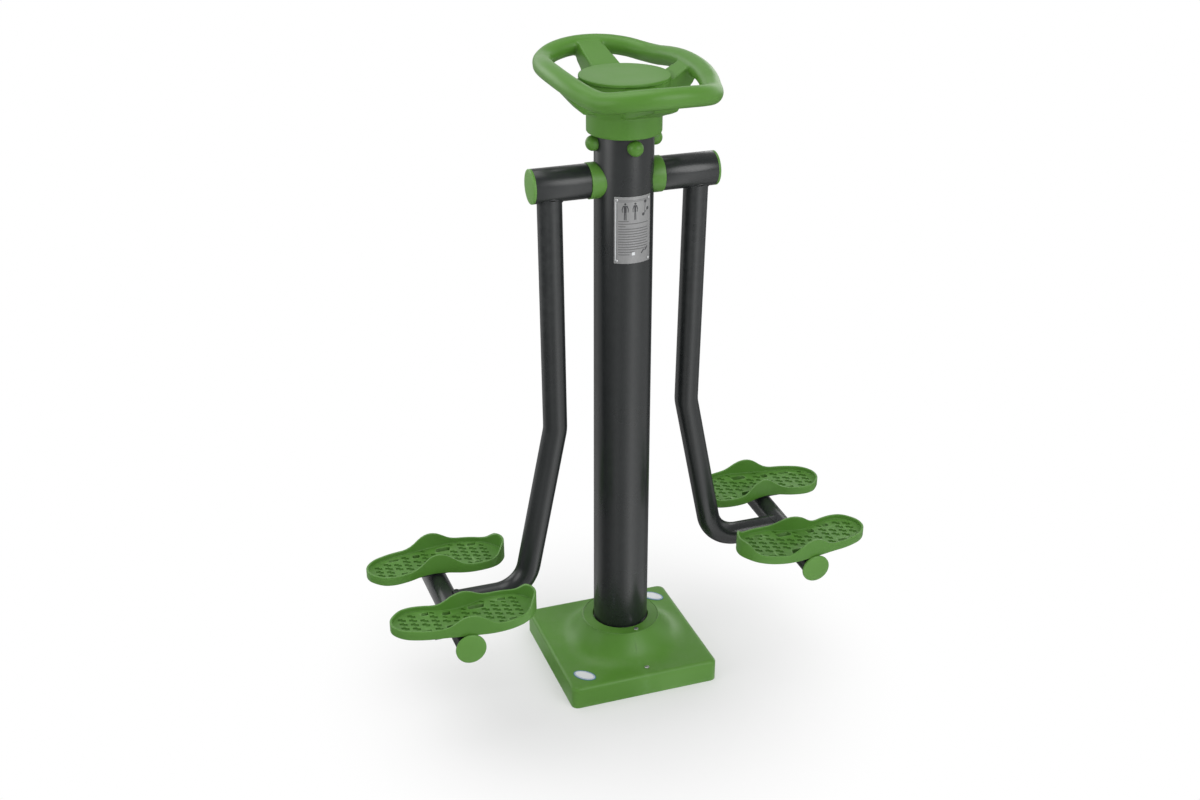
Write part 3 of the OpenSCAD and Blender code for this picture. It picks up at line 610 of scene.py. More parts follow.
def make_spacer_rings():
    """A green ring each side of the post, coped to its curve."""
    ring = turned("ring", [(SPACER_HOLE, 0.0), (SPACER_R, 0.0), (SPACER_R, SPACER_L - SPACER_EDGE),
                           (SPACER_R - SPACER_EDGE, SPACER_L), (SPACER_HOLE + SPACER_EDGE, SPACER_L),
                           (SPACER_HOLE, SPACER_L - SPACER_EDGE)], hollow=True)
    ring.data.transform(facing_x(SPACER_START, AXLE_H))
    cope(ring, AXLE_H)
    round_edges(ring, 0.0008, 2, 50)
    left = twin(ring, "left_ring", Matrix.Rotation(math.pi, 4, "Z"))
    hand_in(ring, "right_spacer", "stand", GREEN, ["right_spacer_ring"])
    hand_in(left, "left_spacer", "stand", GREEN, ["left_spacer_ring"])


def make_bolt_caps():
    """Four domed caps over the handwheel's bolts."""
    cap = turned("cap", dome(BOLT_CAP_R, 0.0, BOLT_CAP_WALL, BOLT_CAP_CROWN, 12), sides=56)
    cap.data.transform(facing_x(POST_R - 0.002, CAP_BOLT_H))
    cope(cap, CAP_BOLT_H)
    round_edges(cap, 0.0006, 2, 50)
    caps = [cap] + [twin(cap, "cap", Matrix.Rotation(math.pi / 2 * i, 4, "Z")) for i in (1, 2, 3)]
    hand_in(join(caps, "caps"), "domed_bolt_caps", "stand", GREEN, ["bolt_caps"], 50)


# Handwheel

def rail_line():
    """The rail's centreline: a quarter of knots, mirrored round."""
    quarter = [(1, 0, 0.07), (0.987, 0.218, 0.17), (0.941, 0.417, 0.47), (0.863, 0.599, 0.88),
               (0.763, 0.774, 0.96), (0.567, 0.901, 0.5), (0.296, 0.976, 0.12), (0, 1, 0)]
    knots = []
    for turn in range(4):
        run = quarter[:-1] if turn % 2 == 0 else quarter[:0:-1]
        sx = -1 if turn in (1, 2) else 1
        sy = -1 if turn > 1 else 1
        knots += [(sx * WHEEL_X * a, sy * WHEEL_Y * b, WHEEL_H - WHEEL_DIP * c) for a, b, c in run]
    return flowing(knots, RAIL_STEPS)


def make_spoke(reach, web):
    """A spoke along +X: a block cut across, its top and underside set at each cut."""
    put_down()
    start = SPOKE_START
    bpy.ops.mesh.primitive_cube_add(size=1, location=((start + reach) / 2, 0, SPOKE_H))
    spoke = bpy.context.object
    spoke.scale = (reach - start, SPOKE_W, SPOKE_T)
    set_down(spoke)
    open_up(spoke)
    for i in range(1, SPOKE_CUTS):
        cut = start + (reach - start) * i / SPOKE_CUTS
        bpy.ops.mesh.select_all(action="SELECT")
        bpy.ops.mesh.bisect(plane_co=(cut, 0, 0), plane_no=(1, 0, 0))
    form = bmesh.from_edit_mesh(spoke.data)
    run = reach - SKIRT_R
    rise = WHEEL_H - RAIL_R * 0.7 - SKIRT_TOP
    for corner in form.verts:
        x = corner.co.x
        share = max(0.0, (x - HUB_R) / (reach - HUB_R))
        if corner.co.z > SPOKE_H:
            corner.co.z = HUB_RIM - 0.003 + (WHEEL_H + RAIL_R * 0.72 - HUB_RIM + 0.003) * share
        else:
            corner.co.z = SKIRT_TOP + rise * between(web, (x - SKIRT_R) / run)
        corner.co.y *= 1 - SPOKE_TAPER * share
    bmesh.update_edit_mesh(spoke.data)
    close_up(spoke)
    return spoke


def make_handwheel():
    """Rail, spokes and hub grown into one moulding."""
    rail = bent_rod("rail", rail_line(), RAIL_R, closed=True, detail=8)
    hub = turned("hub", [(POST_R + COPE, POST_TOP + 0.0001), (POST_R + COPE, SKIRT_H),
                         (SKIRT_R - 0.001, SKIRT_H),
                         (SKIRT_R, SKIRT_H + 0.001), (SKIRT_R, SKIRT_TOP - 0.004),
                         (SKIRT_R + 0.0022, SKIRT_TOP - 0.002), (SKIRT_R + 0.0024, SKIRT_TOP + 0.003),
                         (HUB_R - 0.003, HUB_FLARE - 0.010), (HUB_R, HUB_FLARE), (HUB_R, HUB_RIM)])
    short_web = [(0, 0), (0.28, 0.02), (0.5, 0.26), (0.75, 0.55), (0.95, 0.78), (1, 0.95)]
    long_web = [(0, 0), (0.08, 0.01), (0.3, 0.18), (0.5, 0.36), (0.75, 0.57), (0.92, 0.74), (1, 0.95)]
    short = make_spoke(WHEEL_X - 0.002, short_web)
    long = make_spoke(WHEEL_Y - 0.002, long_web)
    pieces = [hub, rail, short, twin(short, "s", Matrix.Rotation(math.pi, 4, "Z")),
              twin(long, "s", Matrix.Rotation(-math.pi / 2, 4, "Z"))]
    long.data.transform(Matrix.Rotation(math.pi / 2, 4, "Z"))
    pieces.append(long)
    wheel = join(pieces, "wheel")
    finish_with(wheel, "REMESH", mode="VOXEL", voxel_size=WHEEL_GRAIN, use_smooth_shade=True)
    finish_with(wheel, "SMOOTH", factor=0.5, iterations=5)
    hand_in(wheel, "handwheel_moulding", "stand", GREEN, ["handwheel"], 80)


def make_hub_cap():
    """The hub's round lid, with its edge eased."""
    edge = [(LID_R - 0.0020, HUB_RIM), (LID_R - 0.0008, HUB_RIM), (LID_R, HUB_RIM + 0.0008),
            (LID_R, HUB_TOP - 0.0022), (LID_R - 0.0004, HUB_TOP - 0.0010),
            (LID_R - 0.0014, HUB_TOP - 0.0003), (LID_R - 0.0040, HUB_TOP - 0.0001)]
    cap = turned("cap", edge + [(0.060, HUB_TOP), (0.030, HUB_TOP), (0.004, HUB_TOP)], sides=160)
    hand_in(cap, "hub_lid", "stand", GREEN, ["hub_cap"])


# Base

def rounded_square(half):
    """Points round a square with round corners, the first one beside +X."""
    flat = half - COVER_CORNER
    ring = []
    for q in range(4):
        turn = Matrix.Rotation(math.pi / 2 * q, 2)
        run = [(half, flat * i / SIDE_CUTS) for i in range(1 - SIDE_CUTS, SIDE_CUTS)]
        for i in range(CORNER_CUTS + 1):
            a = math.pi / 2 * i / CORNER_CUTS
            run.append((flat + COVER_CORNER * math.cos(a), flat + COVER_CORNER * math.sin(a)))
        ring += [turn @ Vector(p) for p in run]
    return ring


# The bead round the collar: radius and height
COLLAR_BEAD = [(0.0824, 0.1020), (0.0823, 0.1032), (0.0814, 0.1039), (0.0803, 0.1036),
               (0.0795, 0.1030), (0.0690, 0.1037)]


def flare_height(radius):
    """Height of the cover's round flare at a distance from the post's axis."""
    flat = COVER_R - COVER_EDGE
    share = min(1.0, max(0.0, (flat - radius) / (flat - COLLAR_R)))
    return COVER_TOP + (COLLAR_FOOT - COVER_TOP) * share ** FLARE_POWER


def cover_rings():
    """The cover's skin from its foot to the post, as rings of points."""
    foot = rounded_square(COVER_R)
    rings = [[(p.x, p.y, 0.0) for p in foot], [(p.x, p.y, 0.010) for p in foot]]
    for i in range(EDGE_CUTS + 1):
        a = math.pi / 2 * i / EDGE_CUTS
        ring = rounded_square(COVER_R - COVER_EDGE * (1 - math.cos(a)))
        rings.append([(p.x, p.y, COVER_TOP - COVER_EDGE * (1 - math.sin(a))) for p in ring])
    top = rounded_square(COVER_R - COVER_EDGE)
    collar = [p.normalized() * COLLAR_R for p in rounded_square(COVER_R)]
    for i in range(1, FLARE_CUTS + 1):
        ring = [a.lerp(b, i / FLARE_CUTS) for a, b in zip(top, collar)]
        rings.append([(p.x, p.y, flare_height(p.length)) for p in ring])
    hole = POST_R + COVER_GAP
    for radius, z in COLLAR_BEAD + [(hole + 0.001, COVER_COLLAR), (hole, COVER_COLLAR - 0.001)]:
        rings.append([(*(p.normalized() * radius), z) for p in foot])
    return rings


def make_cover():
    """One moulding drawn up ring by ring, given a wall and parted into two halves."""
    rings = cover_rings()
    put_down()
    bpy.ops.mesh.primitive_circle_add(vertices=len(rings[0]), radius=COVER_R, fill_type="NOTHING")
    skin = bpy.context.object
    open_up(skin)
    form = bmesh.from_edit_mesh(skin.data)
    form.verts.ensure_lookup_table()
    for corner, spot in zip(form.verts, rings[0]):
        corner.co = spot
    bmesh.update_edit_mesh(skin.data)
    for ring in rings[1:]:
        bpy.ops.mesh.extrude_region_move(TRANSFORM_OT_translate={"value": (0, 0, 0.001)})
        form = bmesh.from_edit_mesh(skin.data)
        fresh = sorted((v for v in form.verts if v.select), key=lambda v: v.index)
        for corner, spot in zip(fresh, ring):
            corner.co = spot
        bmesh.update_edit_mesh(skin.data)
    close_up(skin)
    finish_with(skin, "SOLIDIFY", thickness=COVER_WALL, offset=-1, use_even_offset=True)
    other = twin(skin, "other", Matrix.Identity(4))
    for half, side, name in ((skin, 1, "right"), (other, -1, "left")):
        open_up(half)
        bpy.ops.mesh.bisect(plane_co=(side * SEAM, 0, 0), plane_no=(side, 0, 0), clear_inner=True,
                            use_fill=True)
        close_up(half)
        hand_in(half, "cover_half_" + name, "stand", GREEN, ["base_cover_" + name], 40)


# The layers of a sticker: name, half length, half width, height over the cover and finish
OVAL_LAYERS = (("rim", 0.0250, 0.0150, 0.0006, OVAL_RIM), ("face", 0.0228, 0.0128, 0.0008, OVAL),
               ("line", 0.0214, 0.0114, 0.0009, OVAL_RIM), ("middle", 0.0206, 0.0106, 0.0010, OVAL))


def make_ovals():
    """Blank oval stickers laid on the cover, each with a thin rim and a thin line."""
    for name, side in (("front", 1), ("rear", -1)):
        turn = Matrix.Rotation(0 if side == 1 else math.pi, 4, "Z")
        for kind, half_l, half_w, lift, stuff in OVAL_LAYERS:
            put_down()
            bpy.ops.mesh.primitive_grid_add(x_subdivisions=24, y_subdivisions=16, size=2)
            oval = bpy.context.object
            open_up(oval)
            form = bmesh.from_edit_mesh(oval.data)
            for corner in form.verts:
                x, y = corner.co.x, corner.co.y
                corner.co.x = x * math.sqrt(1 - y * y / 2) * half_l
                corner.co.y = y * math.sqrt(1 - x * x / 2) * half_w
                corner.co.z = 0.12
            bmesh.update_edit_mesh(oval.data)
            put_down()
            spot = Matrix.Translation((OVAL_X, OVAL_Y, 0)) @ Matrix.Rotation(-math.pi / 4, 4, "Z")
            oval.data.transform(Matrix.Rotation(math.pi, 4, "Z") @ turn @ spot)
            target = bpy.data.objects["cover_half_left" if side == 1 else "cover_half_right"]
            finish_with(oval, "SHRINKWRAP", target=target, wrap_method="PROJECT", use_project_z=True,
                        use_negative_direction=True, use_positive_direction=False, offset=lift)
            finish_with(oval, "SOLIDIFY", thickness=lift - 0.0001, offset=-1)
            hand_in(oval, f"oval_{kind}_{name}", "stand", stuff,
                    ["blank_badges"] if (kind, name) == ("face", "front") else ())


# Info plate

def wrap_round_post(obj, face):
    """Bends a flat form, drawn in X and Z with its face towards -Y, round the post."""
    for corner in obj.data.vertices:
        radius = face - corner.co.y
        angle = corner.co.x / INFO_FACE
        corner.co = (radius * math.sin(angle), -radius * math.cos(angle), corner.co.z)


def flat_panel(width, height, x, z, cuts=12):
    """A flat upright form, cut into strips so that it can be bent."""
    put_down()
    bpy.ops.mesh.primitive_plane_add(size=1, location=(x, 0, z), rotation=(math.pi / 2, 0, 0))
    panel = bpy.context.object
    panel.scale = (width, height, 1)
    set_down(panel)
    open_up(panel)
    for i in range(1, cuts):
        bpy.ops.mesh.select_all(action="SELECT")
        bpy.ops.mesh.bisect(plane_co=(x - width / 2 + width * i / cuts, 0, 0), plane_no=(1, 0, 0))
    put_down()
    return panel


def flat_disc(radius, x, z):
    """A flat upright disc."""
    put_down()
    bpy.ops.mesh.primitive_circle_add(vertices=20, radius=radius, location=(x, 0, z),
                                      rotation=(math.pi / 2, 0, 0), fill_type="NGON")
    disc = bpy.context.object
    set_down(disc)
    return disc


def flat_limb(x0, z0, x1, z1, width):
    """A short straight stroke of print."""
    length = math.hypot(x1 - x0, z1 - z0)
    limb = flat_panel(length, width, 0, 0, 3)
    turn = Matrix.Rotation(-math.atan2(z1 - z0, x1 - x0), 4, "Y")
    limb.data.transform(Matrix.Translation(((x0 + x1) / 2, 0, (z0 + z1) / 2)) @ turn)
    return limb


def figure(x, z, bold):
    """A plain printed figure: head, shoulders, trunk, hanging arms and legs."""
    wide = 0.0042 * bold
    marks = [flat_disc(0.0021, x, z), flat_limb(x, z - 0.0030, x, z - 0.0165, 0.0052 * bold),
             flat_limb(x - wide, z - 0.0040, x + wide, z - 0.0040, 0.0022)]
    for side in (-1, 1):
        for x0, z0, x1, z1, width in ((wide - 0.0006, 0.0035, wide + 0.0016, 0.0105, 0.0017),
                                      (wide + 0.0016, 0.0098, wide + 0.0012, 0.0162, 0.0014),
                                      (0.0012 * bold, 0.0158, 0.0016 * bold, 0.0315, 0.0019 * bold)):
            marks.append(flat_limb(x + side * x0, z - z0, x + side * x1, z - z1, width))
    return marks


def finish_print(marks, name, stuff):
    """Flat marks given a hair's thickness and laid on the sheet."""
    sheet = join(marks, name)
    finish_with(sheet, "SOLIDIFY", thickness=INK_T, offset=1)
    wrap_round_post(sheet, INFO_FACE)
    hand_in(sheet, name, "stand", stuff, (), 30)


def make_info_plate():
    """A thin grey sheet bent round the post, printed with rules and two plain figures."""
    mid = INFO_LOW + INFO_H / 2
    sheet = flat_panel(INFO_W, INFO_H, 0, mid, 28)
    finish_with(sheet, "SOLIDIFY", thickness=INFO_T, offset=-1)
    wrap_round_post(sheet, INFO_FACE)
    round_edges(sheet, 0.0005, 2, 50)
    hand_in(sheet, "info_sheet", "stand", GREY_PLATE, ["info_plate"])

    marks = []
    top = INFO_LOW + INFO_H
    left = -INFO_W / 2 + 0.0085
    right = INFO_W / 2 - 0.0075
    for z in (top - 0.0068, top - 0.0092):
        marks.append(flat_panel(right - left, 0.0008, 0, z))
    marks.append(flat_panel(0.0007, INFO_H - 0.018, left - 0.0028, mid, 2))
    widths = (0.32, 1, 0.22, 0.97, 1, 0.96, 0.98, 1, 0.94, 1, 0.97, 0.92, 0.5, 0.35)
    for i, share in enumerate(widths):
        z = top - 0.0475 - 0.0051 * i
        marks.append(flat_panel((right - left) * share, 0.0016, left + (right - left) * share / 2, z))
    finish_print(marks, "info_lines", PALE_INK)
    marks = figure(-0.0176, top - 0.0135, 1.0) + figure(0.0018, top - 0.0135, 0.75)
    for x, z in ((0.0240, 0.0120), (0.0300, 0.0265), (0.0195, 0.0365)):
        marks.append(flat_disc(0.0031, x, top - z))
    marks.append(flat_limb(0.0240, top - 0.012, 0.0225, top - 0.034, 0.0009))
    marks.append(flat_limb(0.0300, top - 0.0265, 0.0225, top - 0.034, 0.0009))
    for x, z, wide in ((0.0185, 0.1100, 0.006), (0.0275, 0.1055, 0.0065)):
        marks.append(flat_limb(x - wide / 2, top - z - 0.0035, x + wide / 2, top - z + 0.0035, 0.0026))
    finish_print(marks, "info_figures", INK)
    patch = flat_panel(0.0058, 0.0064, -0.001, top - 0.1125, 2)
    margin = flat_panel(0.0012, INFO_H - 0.010, 0.0035 - INFO_W / 2, mid, 2)
    finish_print([patch, margin], "info_light_patch", OVAL)


# Arms

def arc(cx, cz, radius, start, end, steps):
    """Points on an arc in the plane of the arm."""
    return [(cx + radius * math.cos(start + (end - start) * i / steps), 0.0,
             cz + radius * math.sin(start + (end - start) * i / steps)) for i in range(steps + 1)]


def arm_line():
    """The right arm's centreline, from inside the sleeve down to the crossbar."""
    lean = math.atan((CORNER_X - ARM_X) / (KINK_H - BAR_H))
    cut = KINK_R * math.tan(lean / 2)
    turn = math.pi / 2 - lean
    bend = BEND_R * math.tan(turn / 2)
    line = [(ARM_X, 0.0, AXLE_H - 0.026), (ARM_X, 0.0, KINK_H + cut + 0.002)]
    line += arc(ARM_X + KINK_R, KINK_H + cut, KINK_R, math.pi, math.pi + lean, 8)
    line += arc(CORNER_X + bend, BAR_H + BEND_R, BEND_R, math.pi + lean, 1.5 * math.pi, 20)
    return line + [(BAR_X - 0.012, 0.0, BAR_H)]


def weld_bead(points, radius):
    """A weld run: a rod that swells and pinches along its length."""
    bead = bent_rod("bead", points, radius, closed=True, detail=3)
    centre = sum((Vector(p) for p in points), Vector()) / len(points)
    for corner in bead.data.vertices:
        ray = corner.co - centre
        angle = math.atan2(ray.y, ray.x if abs(ray.z) < abs(ray.x) + 0.02 else ray.z)
        corner.co += ray.normalized() * 0.0002 * math.sin(angle * 34)
    return bead


def make_arms():
    """Sleeve, arm, crossbar and their caps and welds, drawn once and hung on both sides."""
    sleeve = pipe("sleeve", SLEEVE_R, SLEEVE_HOLE, 0.0, SLEEVE_OUT - SLEEVE_IN)
    sleeve.data.transform(facing_x(SLEEVE_IN, AXLE_H))
    arm = bent_rod("arm", arm_line(), TUBE_R, detail=14)
    bar = pipe("bar", TUBE_R, TUBE_R - TUBE_WALL, -BAR_HALF, BAR_HALF)
    bar.data.transform(Matrix.Translation((BAR_X, 0, BAR_H)) @ Matrix.Rotation(math.pi / 2, 4, "X"))
    cap = turned("cap", dome(SLEEVE_R, 0.0, 0.004, 0.003), sides=96)
    cap.data.transform(facing_x(SLEEVE_OUT, AXLE_H))
    round_edges(cap, 0.0004, 2, 50)
    button = turned("button", dome(BAR_CAP_R, 0.0, 0.003, 0.004), sides=96)
    round_edges(button, 0.0006, 2, 50)
    ends = []
    for side in (-1, 1):
        ends.append(twin(button, "button", Matrix.Translation((BAR_X, side * BAR_HALF, BAR_H))
                         @ Matrix.Rotation(-side * math.pi / 2, 4, "X")))
    bpy.data.objects.remove(button)
    ends = join(ends, "ends")
    saddle = [(ARM_X + TUBE_R * math.cos(a), TUBE_R * math.sin(a),
               AXLE_H - math.sqrt(SLEEVE_R ** 2 - (TUBE_R * math.sin(a)) ** 2))
              for a in (2 * math.pi * i / 96 for i in range(96))]
    upper = weld_bead(saddle, WELD_R)
    fork = [(BAR_X - abs(TUBE_R * math.cos(a)), TUBE_R * math.sin(a), BAR_H + TUBE_R * math.cos(a))
            for a in (2 * math.pi * (i + 0.5) / 96 for i in range(96))]
    lower = weld_bead(fork, WELD_R)
    beads = join([upper, lower], "beads")
    for side, place in (("right", on_right()), ("left", on_left())):
        body = side + "_arm"
        for source, name, stuff, slot, replaced in (
                (sleeve, "axle_sleeve", ANTHRACITE, "coated_steel", "sleeve"),
                (arm, "bent_arm", ANTHRACITE, "coated_steel", "arm_tube"),
                (bar, "foot_bar", ANTHRACITE, "coated_steel", "crossbar"),
                (beads, "weld_beads", ANTHRACITE, "coated_steel", None),
                (cap, "sleeve_lid", GREEN_CAP_LIT, "green_plastic", "sleeve_cap"),
                (ends, "bar_buttons", GREEN_CAP_LIT, "green_plastic", "crossbar_caps")):
            piece = twin(source, name, place)
            hand_in(piece, side + "_" + name, body, stuff,
                    [side + "_" + replaced] if replaced else (), 40)
    for source in (sleeve, arm, bar, beads, cap, ends):
        bpy.data.objects.remove(source)


# Foot plates, drawn with the toe at x = PLATE_L and the inner edge along y = 0

OUTER = [(0.004, 0.49), (0.0215, 0.58), (0.053, 0.672), (0.107, 0.758), (0.21, 0.84), (0.33, 0.887),
         (0.443, 0.935), (0.536, 0.968), (0.639, 1), (0.746, 0.984), (0.845, 0.911), (0.921, 0.79),
         (0.972, 0.63), (0.994, 0.53)]
INNER = [(0.004, 0.328), (0.0215, 0.229), (0.069, 0.097), (0.12, 0.03), (0.19, 0.015), (0.28, 0.055),
         (0.37, 0.13), (0.457, 0.16), (0.553, 0.115), (0.663, 0.025), (0.756, 0), (0.859, 0.025),
         (0.928, 0.1), (0.977, 0.24), (0.995, 0.34)]
WING = [(0.3, 0), (0.345, 0.1), (0.39, 0.38), (0.43, 0.74), (0.47, 0.95), (0.5, 1), (0.53, 0.97),
        (0.57, 0.8), (0.61, 0.5), (0.65, 0.2), (0.69, 0.05), (0.73, 0)]
HEEL = [(0.86, 0), (0.89, 0.06), (0.92, 0.26), (0.945, 0.64), (0.968, 0.92), (1.02, 1)]
# Slots: place from the heel, place from the inner edge, length and width, in millimetres
SLOTS = [(62, 19.8, 19, 9), (58.7, 99.9, 20, 10), (116.6, 30, 36, 13), (121, 98, 34, 14),
         (178, 35, 18, 12), (181, 88, 17, 13), (218.6, 23.8, 16, 11), (229.4, 87, 24, 8)]
# One mark of the tread, two lozenges run together, in millimetres
MARK = [(-6.8, 7.0), (1.0, 6.2), (3.0, 1.2), (7.6, 0.4), (6.8, -7.0), (-1.0, -6.2), (-3.0, -1.2),
        (-7.6, -0.4)]
MARK_DEPTH = 0.0014
MARK_START = 0.0395
MARK_STEP = 0.0206
MARK_ROW = 0.016
MARK_SIDE = 0.040
MARK_MARGIN = 0.0062


def sole_outline():
    """The sole's outline as a closed line of points."""
    knots = [(0, 0.41)] + OUTER + [(1, 0.43)] + INNER[::-1]
    return [(PLATE_L * (1 - share), PLATE_W * across) for share, across in flowing(knots, 4)]


def rim_height(x):
    """Height of the rim at a place along the sole, with its wing and its raised heel."""
    share = 1 - x / PLATE_L
    wing = between(flowing(WING, 4, False), share)
    heel = between(flowing(HEEL, 4, False), share)
    return max(RIM_H + (WING_H - RIM_H) * max(wing, 0), RIM_H + (HEEL_H - RIM_H) * max(heel, 0))


def inside_sole(x, y, outline, margin):
    """Whether a spot lies in the outline, at least margin from its edge."""
    inside = False
    for (x0, y0), (x1, y1) in zip(outline, outline[1:] + outline[:1]):
        if (y0 > y) != (y1 > y) and x < (x1 - x0) * (y - y0) / (y1 - y0) + x0:
            inside = not inside
        if math.hypot(x - x0, y - y0) < margin:
            return False
    return inside


def prism(outline, low, high):
    """An upright block over an outline."""
    put_down()
    bpy.ops.mesh.primitive_circle_add(vertices=len(outline), radius=0.01, fill_type="NGON")
    block = bpy.context.object
    open_up(block)
    form = bmesh.from_edit_mesh(block.data)
    form.verts.ensure_lookup_table()
    for corner, spot in zip(form.verts, outline):
        corner.co = (*spot, low)
    bmesh.update_edit_mesh(block.data)
    bpy.ops.mesh.select_all(action="SELECT")
    bpy.ops.mesh.extrude_region_move(TRANSFORM_OT_translate={"value": (0, 0, high - low)})
    close_up(block)
    return block


def slot_cutter(x, y, length, width):
    """A slot that narrows to the toe, with its far end drawn back on the inner side."""
    side = 1 if y < PLATE_W / 2 else -1
    outline = [(x - length / 2, y - side * width / 2), (x + length * 0.36, y - side * width / 2),
               (x + length / 2, y + side * width * 0.18), (x + length * 0.42, y + side * width / 2),
               (x - length * 0.40, y + side * width / 2)]
    block = prism(outline, -0.004, FLOOR_T + 0.006)
    round_edges(block, 0.0018, 3, 30)
    return block


def mark_spots(outline, mark):
    """Where the tread's marks lie and their size: a small one goes where a whole one won't."""
    spots = []
    for k in range(13):
        x = MARK_START + MARK_STEP * k
        for j in range(-3, 7):
            y = MARK_SIDE + MARK_ROW * (j + 0.5 * (k % 2))
            for size in (1.0, 0.6):
                clear = all(abs(x - u / 1000) > l / 2000 + 0.0012 + 0.008 * size
                            or abs(y - v / 1000) > w / 2000 + 0.0010 + 0.007 * size
                            for u, v, l, w in SLOTS)
                if clear and all(inside_sole(x + a * size, y + b * size, outline, MARK_MARGIN)
                                 for a, b in mark):
                    spots.append((x, y, size))
                    break
    return spots


def make_sole(flip):
    """One foot plate. flip slants the tread's marks the other way."""
    outline = sole_outline()
    sole = prism(outline, 0, FLOOR_T)
    open_up(sole)
    pick_faces(sole, lambda mid, normal: mid.z > FLOOR_T * 0.9)
    bpy.ops.mesh.inset(thickness=PLATE_WALL, use_even_offset=True)
    pick_faces(sole, lambda mid, normal: mid.z > FLOOR_T * 0.9
               and not inside_sole(mid.x, mid.y, outline, PLATE_WALL * 1.5))
    bpy.ops.mesh.extrude_region_move(TRANSFORM_OT_translate={"value": (0, 0, 0.02)})
    form = bmesh.from_edit_mesh(sole.data)
    for corner in form.verts:
        if corner.co.z > FLOOR_T + 0.01:
            corner.co.z = rim_height(corner.co.x)
    bmesh.update_edit_mesh(sole.data)
    close_up(sole)
    round_edges(sole, 0.0014, 3, 50)
    mark = [(a / 1000, (-b if flip else b) / 1000) for a, b in MARK]
    first = prism(mark, FLOOR_T - MARK_DEPTH, FLOOR_T + 0.003)
    marks = [twin(first, "mark", Matrix.Translation((x, y, 0)) @ Matrix.Diagonal((size, size, 1, 1)))
             for x, y, size in mark_spots(outline, mark)]
    bpy.data.objects.remove(first)
    carve(sole, join(marks, "marks"))
    carve(sole, join([slot_cutter(*(v / 1000 for v in slot)) for slot in SLOTS], "slots"))
    sole.data.materials.append(GREEN_TREAD)
    sole.data.materials.append(GREEN_RECESS_SHADE)
    # The floors of the marks take the darker green, which paints shade into them
    for face in sole.data.polygons:
        if face.normal.z > 0.9 and abs(face.center.z - FLOOR_T + MARK_DEPTH) < 0.0001:
            face.material_index = 1
    return sole


def make_foot_plates():
    """The four foot plates: two forms, each used as it is and turned round the post."""
    rear = Matrix.Translation((PLATE_X, PLATE_Y, PLATE_Z))
    front = Matrix.Diagonal((1, -1, 1, 1)) @ rear
    plain = make_sole(False)
    flipped = make_sole(True)
    for source, name, place in ((flipped, "right_front_plate", on_right(front)),
                                (plain, "right_rear_plate", on_right(rear)),
                                (plain, "left_front_plate", on_left(rear)),
                                (flipped, "left_rear_plate", on_left(front))):
        piece = twin(source, name, place)
        body = name.split("_")[0] + "_arm"
        hand_in(piece, name.replace("plate", "sole"), body, None, [name], 32)
    bpy.data.objects.remove(plain)
    bpy.data.objects.remove(flipped)


def finish_metal():
    """The CAD pieces that stay get their finishes."""
    for name, node in frame["nodes"].items():
        coat = name in ("base_flange", "flange_gussets", "axle_boss") or "brackets" in name
        node.data.materials.clear()
        node.data.materials.append(ANTHRACITE if coat else ZINC)


# Studio

# What the tubes mirror, by compass direction from -X through -Y, +X and +Y: lit and unlit studio
STREAKS = [(0.0, 0.16), (0.042, 0.2), (0.097, 0.45), (0.139, 0.75), (0.175, 0.55), (0.214, 0.62),
           (0.256, 1.1), (0.306, 1.9), (0.358, 1.3), (0.417, 0.8), (0.489, 0.62), (0.55, 0.2),
           (0.667, 0.2), (0.806, 0.35), (0.875, 0.65), (0.93, 0.5), (0.972, 0.18), (1.0, 0.16)]
STREAK_TOP = 2.0
# How bright the surroundings are by height and from front to back: from, to, level there and there
SKY_BY_HEIGHT = (0.05, 0.6, 1.0, 0.42)
SKY_BY_DEPTH = (-0.8, 0.3, 0.6, 1.0)
FLOOR_SIZE = 60
FLOOR_DROP = 0.0002
FLOOR_TONE = (0.80, 0.80, 0.80, 1)
# How far from a spot beside the post the floor turns plain white, and how much of that is there near it
FLOOR_SPOT = (-0.05, -0.05, 0)
FLOOR_NEAR = 0.15
FLOOR_FAR = 0.65
FLOOR_SHARE = 0.34
# Lamps: name, place, what they face, size in metres and watts
LAMPS = (("key", (1.6, -3.4, 2.8), (0, 0, 0.5), 3.0, 88),
         ("left", (-3.6, -0.6, 1.9), (0, 0, 0.7), 2.4, 30),
         ("back_left", (-2.3, 3.4, 1.8), (0, 0, 0.6), 2.6, 26),
         ("back_right", (3.0, 3.0, 1.5), (0, 0, 0.5), 2.6, 22),
         ("top", (-0.6, 0.8, 4.2), (0, 0, 0), 3.4, 58))
# The photograph's camera: focal length and width in pixels, place and directions
FOCAL = 1568.8195
PHOTO_WIDTH = 1200
CAMERA_PLACE = (-0.9927623, -2.6810031, 1.9754057)
CAMERA_RIGHT = Vector((0.9432424648, -0.3321026079, 0.0012289539))
CAMERA_UP = Vector((0.1419404198, 0.4064811316, 0.9025663448))
CAMERA_AHEAD = Vector((0.3002441835, 0.8511644655, -0.4305490481))


